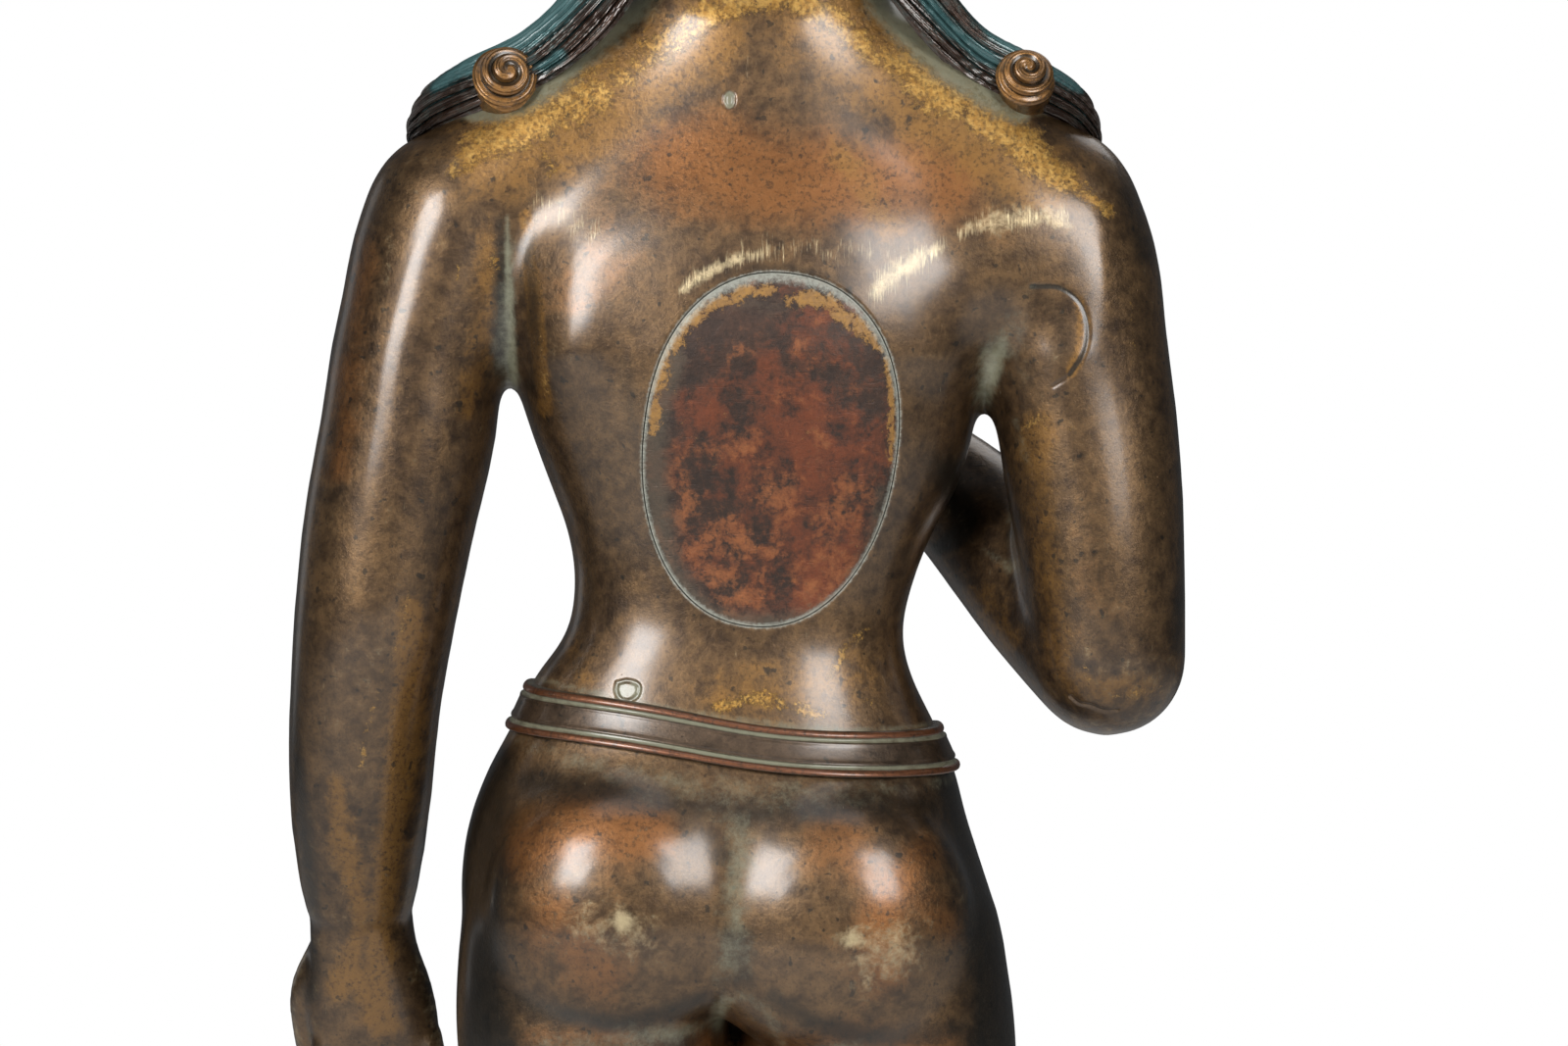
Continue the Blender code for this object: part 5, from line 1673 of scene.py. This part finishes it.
def lay_floor():
    """A pale round floor, which the export leaves out."""
    bpy.ops.mesh.primitive_circle_add(vertices=96, radius=FLOOR_RADIUS, fill_type="NGON", location=(0, 0, 0))
    floor = bpy.context.object
    floor.name = "floor"
    material = bpy.data.materials.new("pale_floor")
    material.use_nodes = True
    shader = material.node_tree.nodes["Principled BSDF"]
    shader.inputs["Base Color"].default_value = FLOOR_COLOUR
    shader.inputs["Roughness"].default_value = FLOOR_ROUGHNESS
    floor.data.materials.append(material)


def set_camera():
    """The photograph's frame: level, from behind, with a long lens."""
    across, up = photo_point(PHOTO_WIDTH / 2, PHOTO_HEIGHT / 2)
    target = Vector(to_metres([across, 0, up]))
    view_width = PHOTO_WIDTH / PIXELS_PER_FINGER * FINGER
    camera = bpy.data.cameras.new("camera")
    camera.sensor_width = FILM_WIDTH
    camera.lens = FILM_WIDTH * CAMERA_DISTANCE / view_width
    obj = bpy.data.objects.new("camera", camera)
    obj.location = target + Vector((0, CAMERA_DISTANCE, 0))
    obj.rotation_euler = (math.radians(90), 0, math.radians(180))
    bpy.context.scene.collection.objects.link(obj)
    bpy.context.scene.camera = obj


def show(obj, material, node, smooth_angle=None):
    """Gives obj its finish and lets it stand for a node."""
    obj.data.materials.clear()
    obj.data.materials.append(material)
    activate(obj)
    if smooth_angle:
        bpy.ops.object.shade_smooth_by_angle(angle=math.radians(smooth_angle))
    else:
        bpy.ops.object.shade_smooth()
    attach(obj, "root")
    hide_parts(node)


def plate_seam_reach(height):
    """The pale filler on the plate's edge reaches far in at the top and little below."""
    least, more = PLATE_DIRT_REACH
    return least + more * np.clip((height - PLATE_MIDDLE[1]) / PLATE_DIRT_RISE, 0, 1) ** 2


SHARP_EDGE = 50  # degrees, from which an edge stays crisp
PLATE_EDGE = 40
PLAIN_WEAR = {"rounds": 12, "worn": 0.2}
# The hollows of the tresses are darkened as painted shade
TRESS_WEAR = {"rounds": 30, "worn": 0.25, "hollow_shade": 0.5}
# The curls' grooves are painted near black as shade, and their ridges rubbed to brass as wear and painted
# glint
CURL_WEAR = {"rounds": 400, "worn": 0.12, "hollow_shade": 3.0}


def dressed(name, masses, metal, base, wear=PLAIN_WEAR):
    """A piece of the figure that takes none of the photograph's ribbons."""
    piece = form(name, masses)
    lay_finishes(piece, base, **wear)
    show(piece, metal, "figure", SHARP_EDGE)


def dress_body(skin_bronze, belt_bronze):
    """The skin, parted under the belt, with the let-in plate and the belt."""
    skin = sculpt_skin()
    belt_band, belt_grooves, belt_ridges = belt(skin)
    hips = part_under_belt(skin)
    plate = let_in_plate(skin)
    seam = oval_line()
    lay_finishes(skin, {}, lines=[(seam, SEAM_DIRT_REACH), (PATCH_EDGE, PATCH_DIRT_REACH)], seen=True)
    lay_finishes(hips, {}, seen=True)
    lay_finishes(plate, {}, lines=[(seam, plate_seam_reach)], seen=True)
    places = to_fingers(vertex_places(plate))
    keep_share(plate, "gilt", ribbon_share(places, PLATE_GILT))
    keep_share(plate, "deposit_and_sheen", ribbon_share(places, PLATE_VEIL))
    below = PLATE_MIDDLE[1] + PLATE_RED_TOP - places[:, 2]
    keep_share(plate, "warm", np.clip(below / PLATE_RED_RISE, 0, 1))
    lay_finishes(
        belt_band,
        {"soot_and_shade": 0.18, "deposit_and_sheen": 0.12 + 0.7 * belt_grooves, "warm": 0.9 * belt_ridges},
        worn=0.05,
    )
    show(skin, skin_bronze, "figure")
    show(hips, skin_bronze, "figure")
    show(plate, plate_finish(), "back_plate", PLATE_EDGE)
    show(belt_band, belt_bronze, "figure", SHARP_EDGE)


def dress_head(skin_bronze, hair_bronze):
    """The face with its ears, the hair, its ties and the tiara."""
    face = form("head", [head_form(), *ears()])
    fuse(face, HEAD_CLAY)
    lay_finishes(face, {"gilt": 0.5, "warm": 0.3})
    show(face, skin_bronze, "figure")
    dressed("hair_cap", [hair_cap()], hair_bronze, {"deposit_and_sheen": 0.12})
    dressed("topknot", [topknot()], hair_bronze, {"deposit_and_sheen": 0.12})
    dressed("hair_ties", hair_ties(), skin_bronze, {"gilt": 0.6})
    dressed("tiara", tiara(), skin_bronze, {"gilt": 0.6})


def dress_tresses(hair_bronze, curl_bronze):
    """The tresses, with blue where the photograph has it, and the curls on them."""
    for name, rows, side in (("left_tress", LEFT_TRESS, 1), ("right_tress", RIGHT_TRESS, -1)):
        piece = form(name, [tress(rows, side)])
        blue = ribbon_share(to_fingers(vertex_places(piece)), HAIR_BLUE)
        lay_finishes(piece, {"deposit_and_sheen": 0.08 + 0.8 * blue}, **TRESS_WEAR)
        show(piece, hair_bronze, "figure", SHARP_EDGE)
    for name, middle, radius, lean, handed in CURLS:
        dressed(name, [curl(middle, radius, lean, handed)], curl_bronze, {"warm": 0.6}, CURL_WEAR)


def build():
    skin_bronze = bronze("skin_bronze")
    hair_bronze = bronze("hair_bronze", (0.018, 0.011, 0.008), (0.075, 0.034, 0.018), pigment=BLUE_GREEN)
    curl_bronze = bronze("curl_bronze", (0.012, 0.007, 0.004), (0.090, 0.043, 0.014), (0.32, 0.15, 0.035))
    belt_bronze = bronze("belt_bronze", (0.030, 0.019, 0.011), (0.090, 0.056, 0.032), (0.170, 0.058, 0.022))
    base_bronze = bronze("base_bronze", polish=0.42)
    dress_body(skin_bronze, belt_bronze)
    dress_head(skin_bronze, hair_bronze)
    dress_tresses(hair_bronze, curl_bronze)
    dressed("pleated_fall", [pleated_fall()], skin_bronze, {"soot_and_shade": 0.2})
    dressed("clasp", clasp(), skin_bronze, {"gilt": 0.6})
    seat = lotus_base()
    lay_finishes(seat, {"soot_and_shade": 0.15, "gilt": 0.3}, rounds=12)
    show(seat, base_bronze, "lotus_base", SHARP_EDGE)


set_camera()
light_studio()
lay_floor()
build()
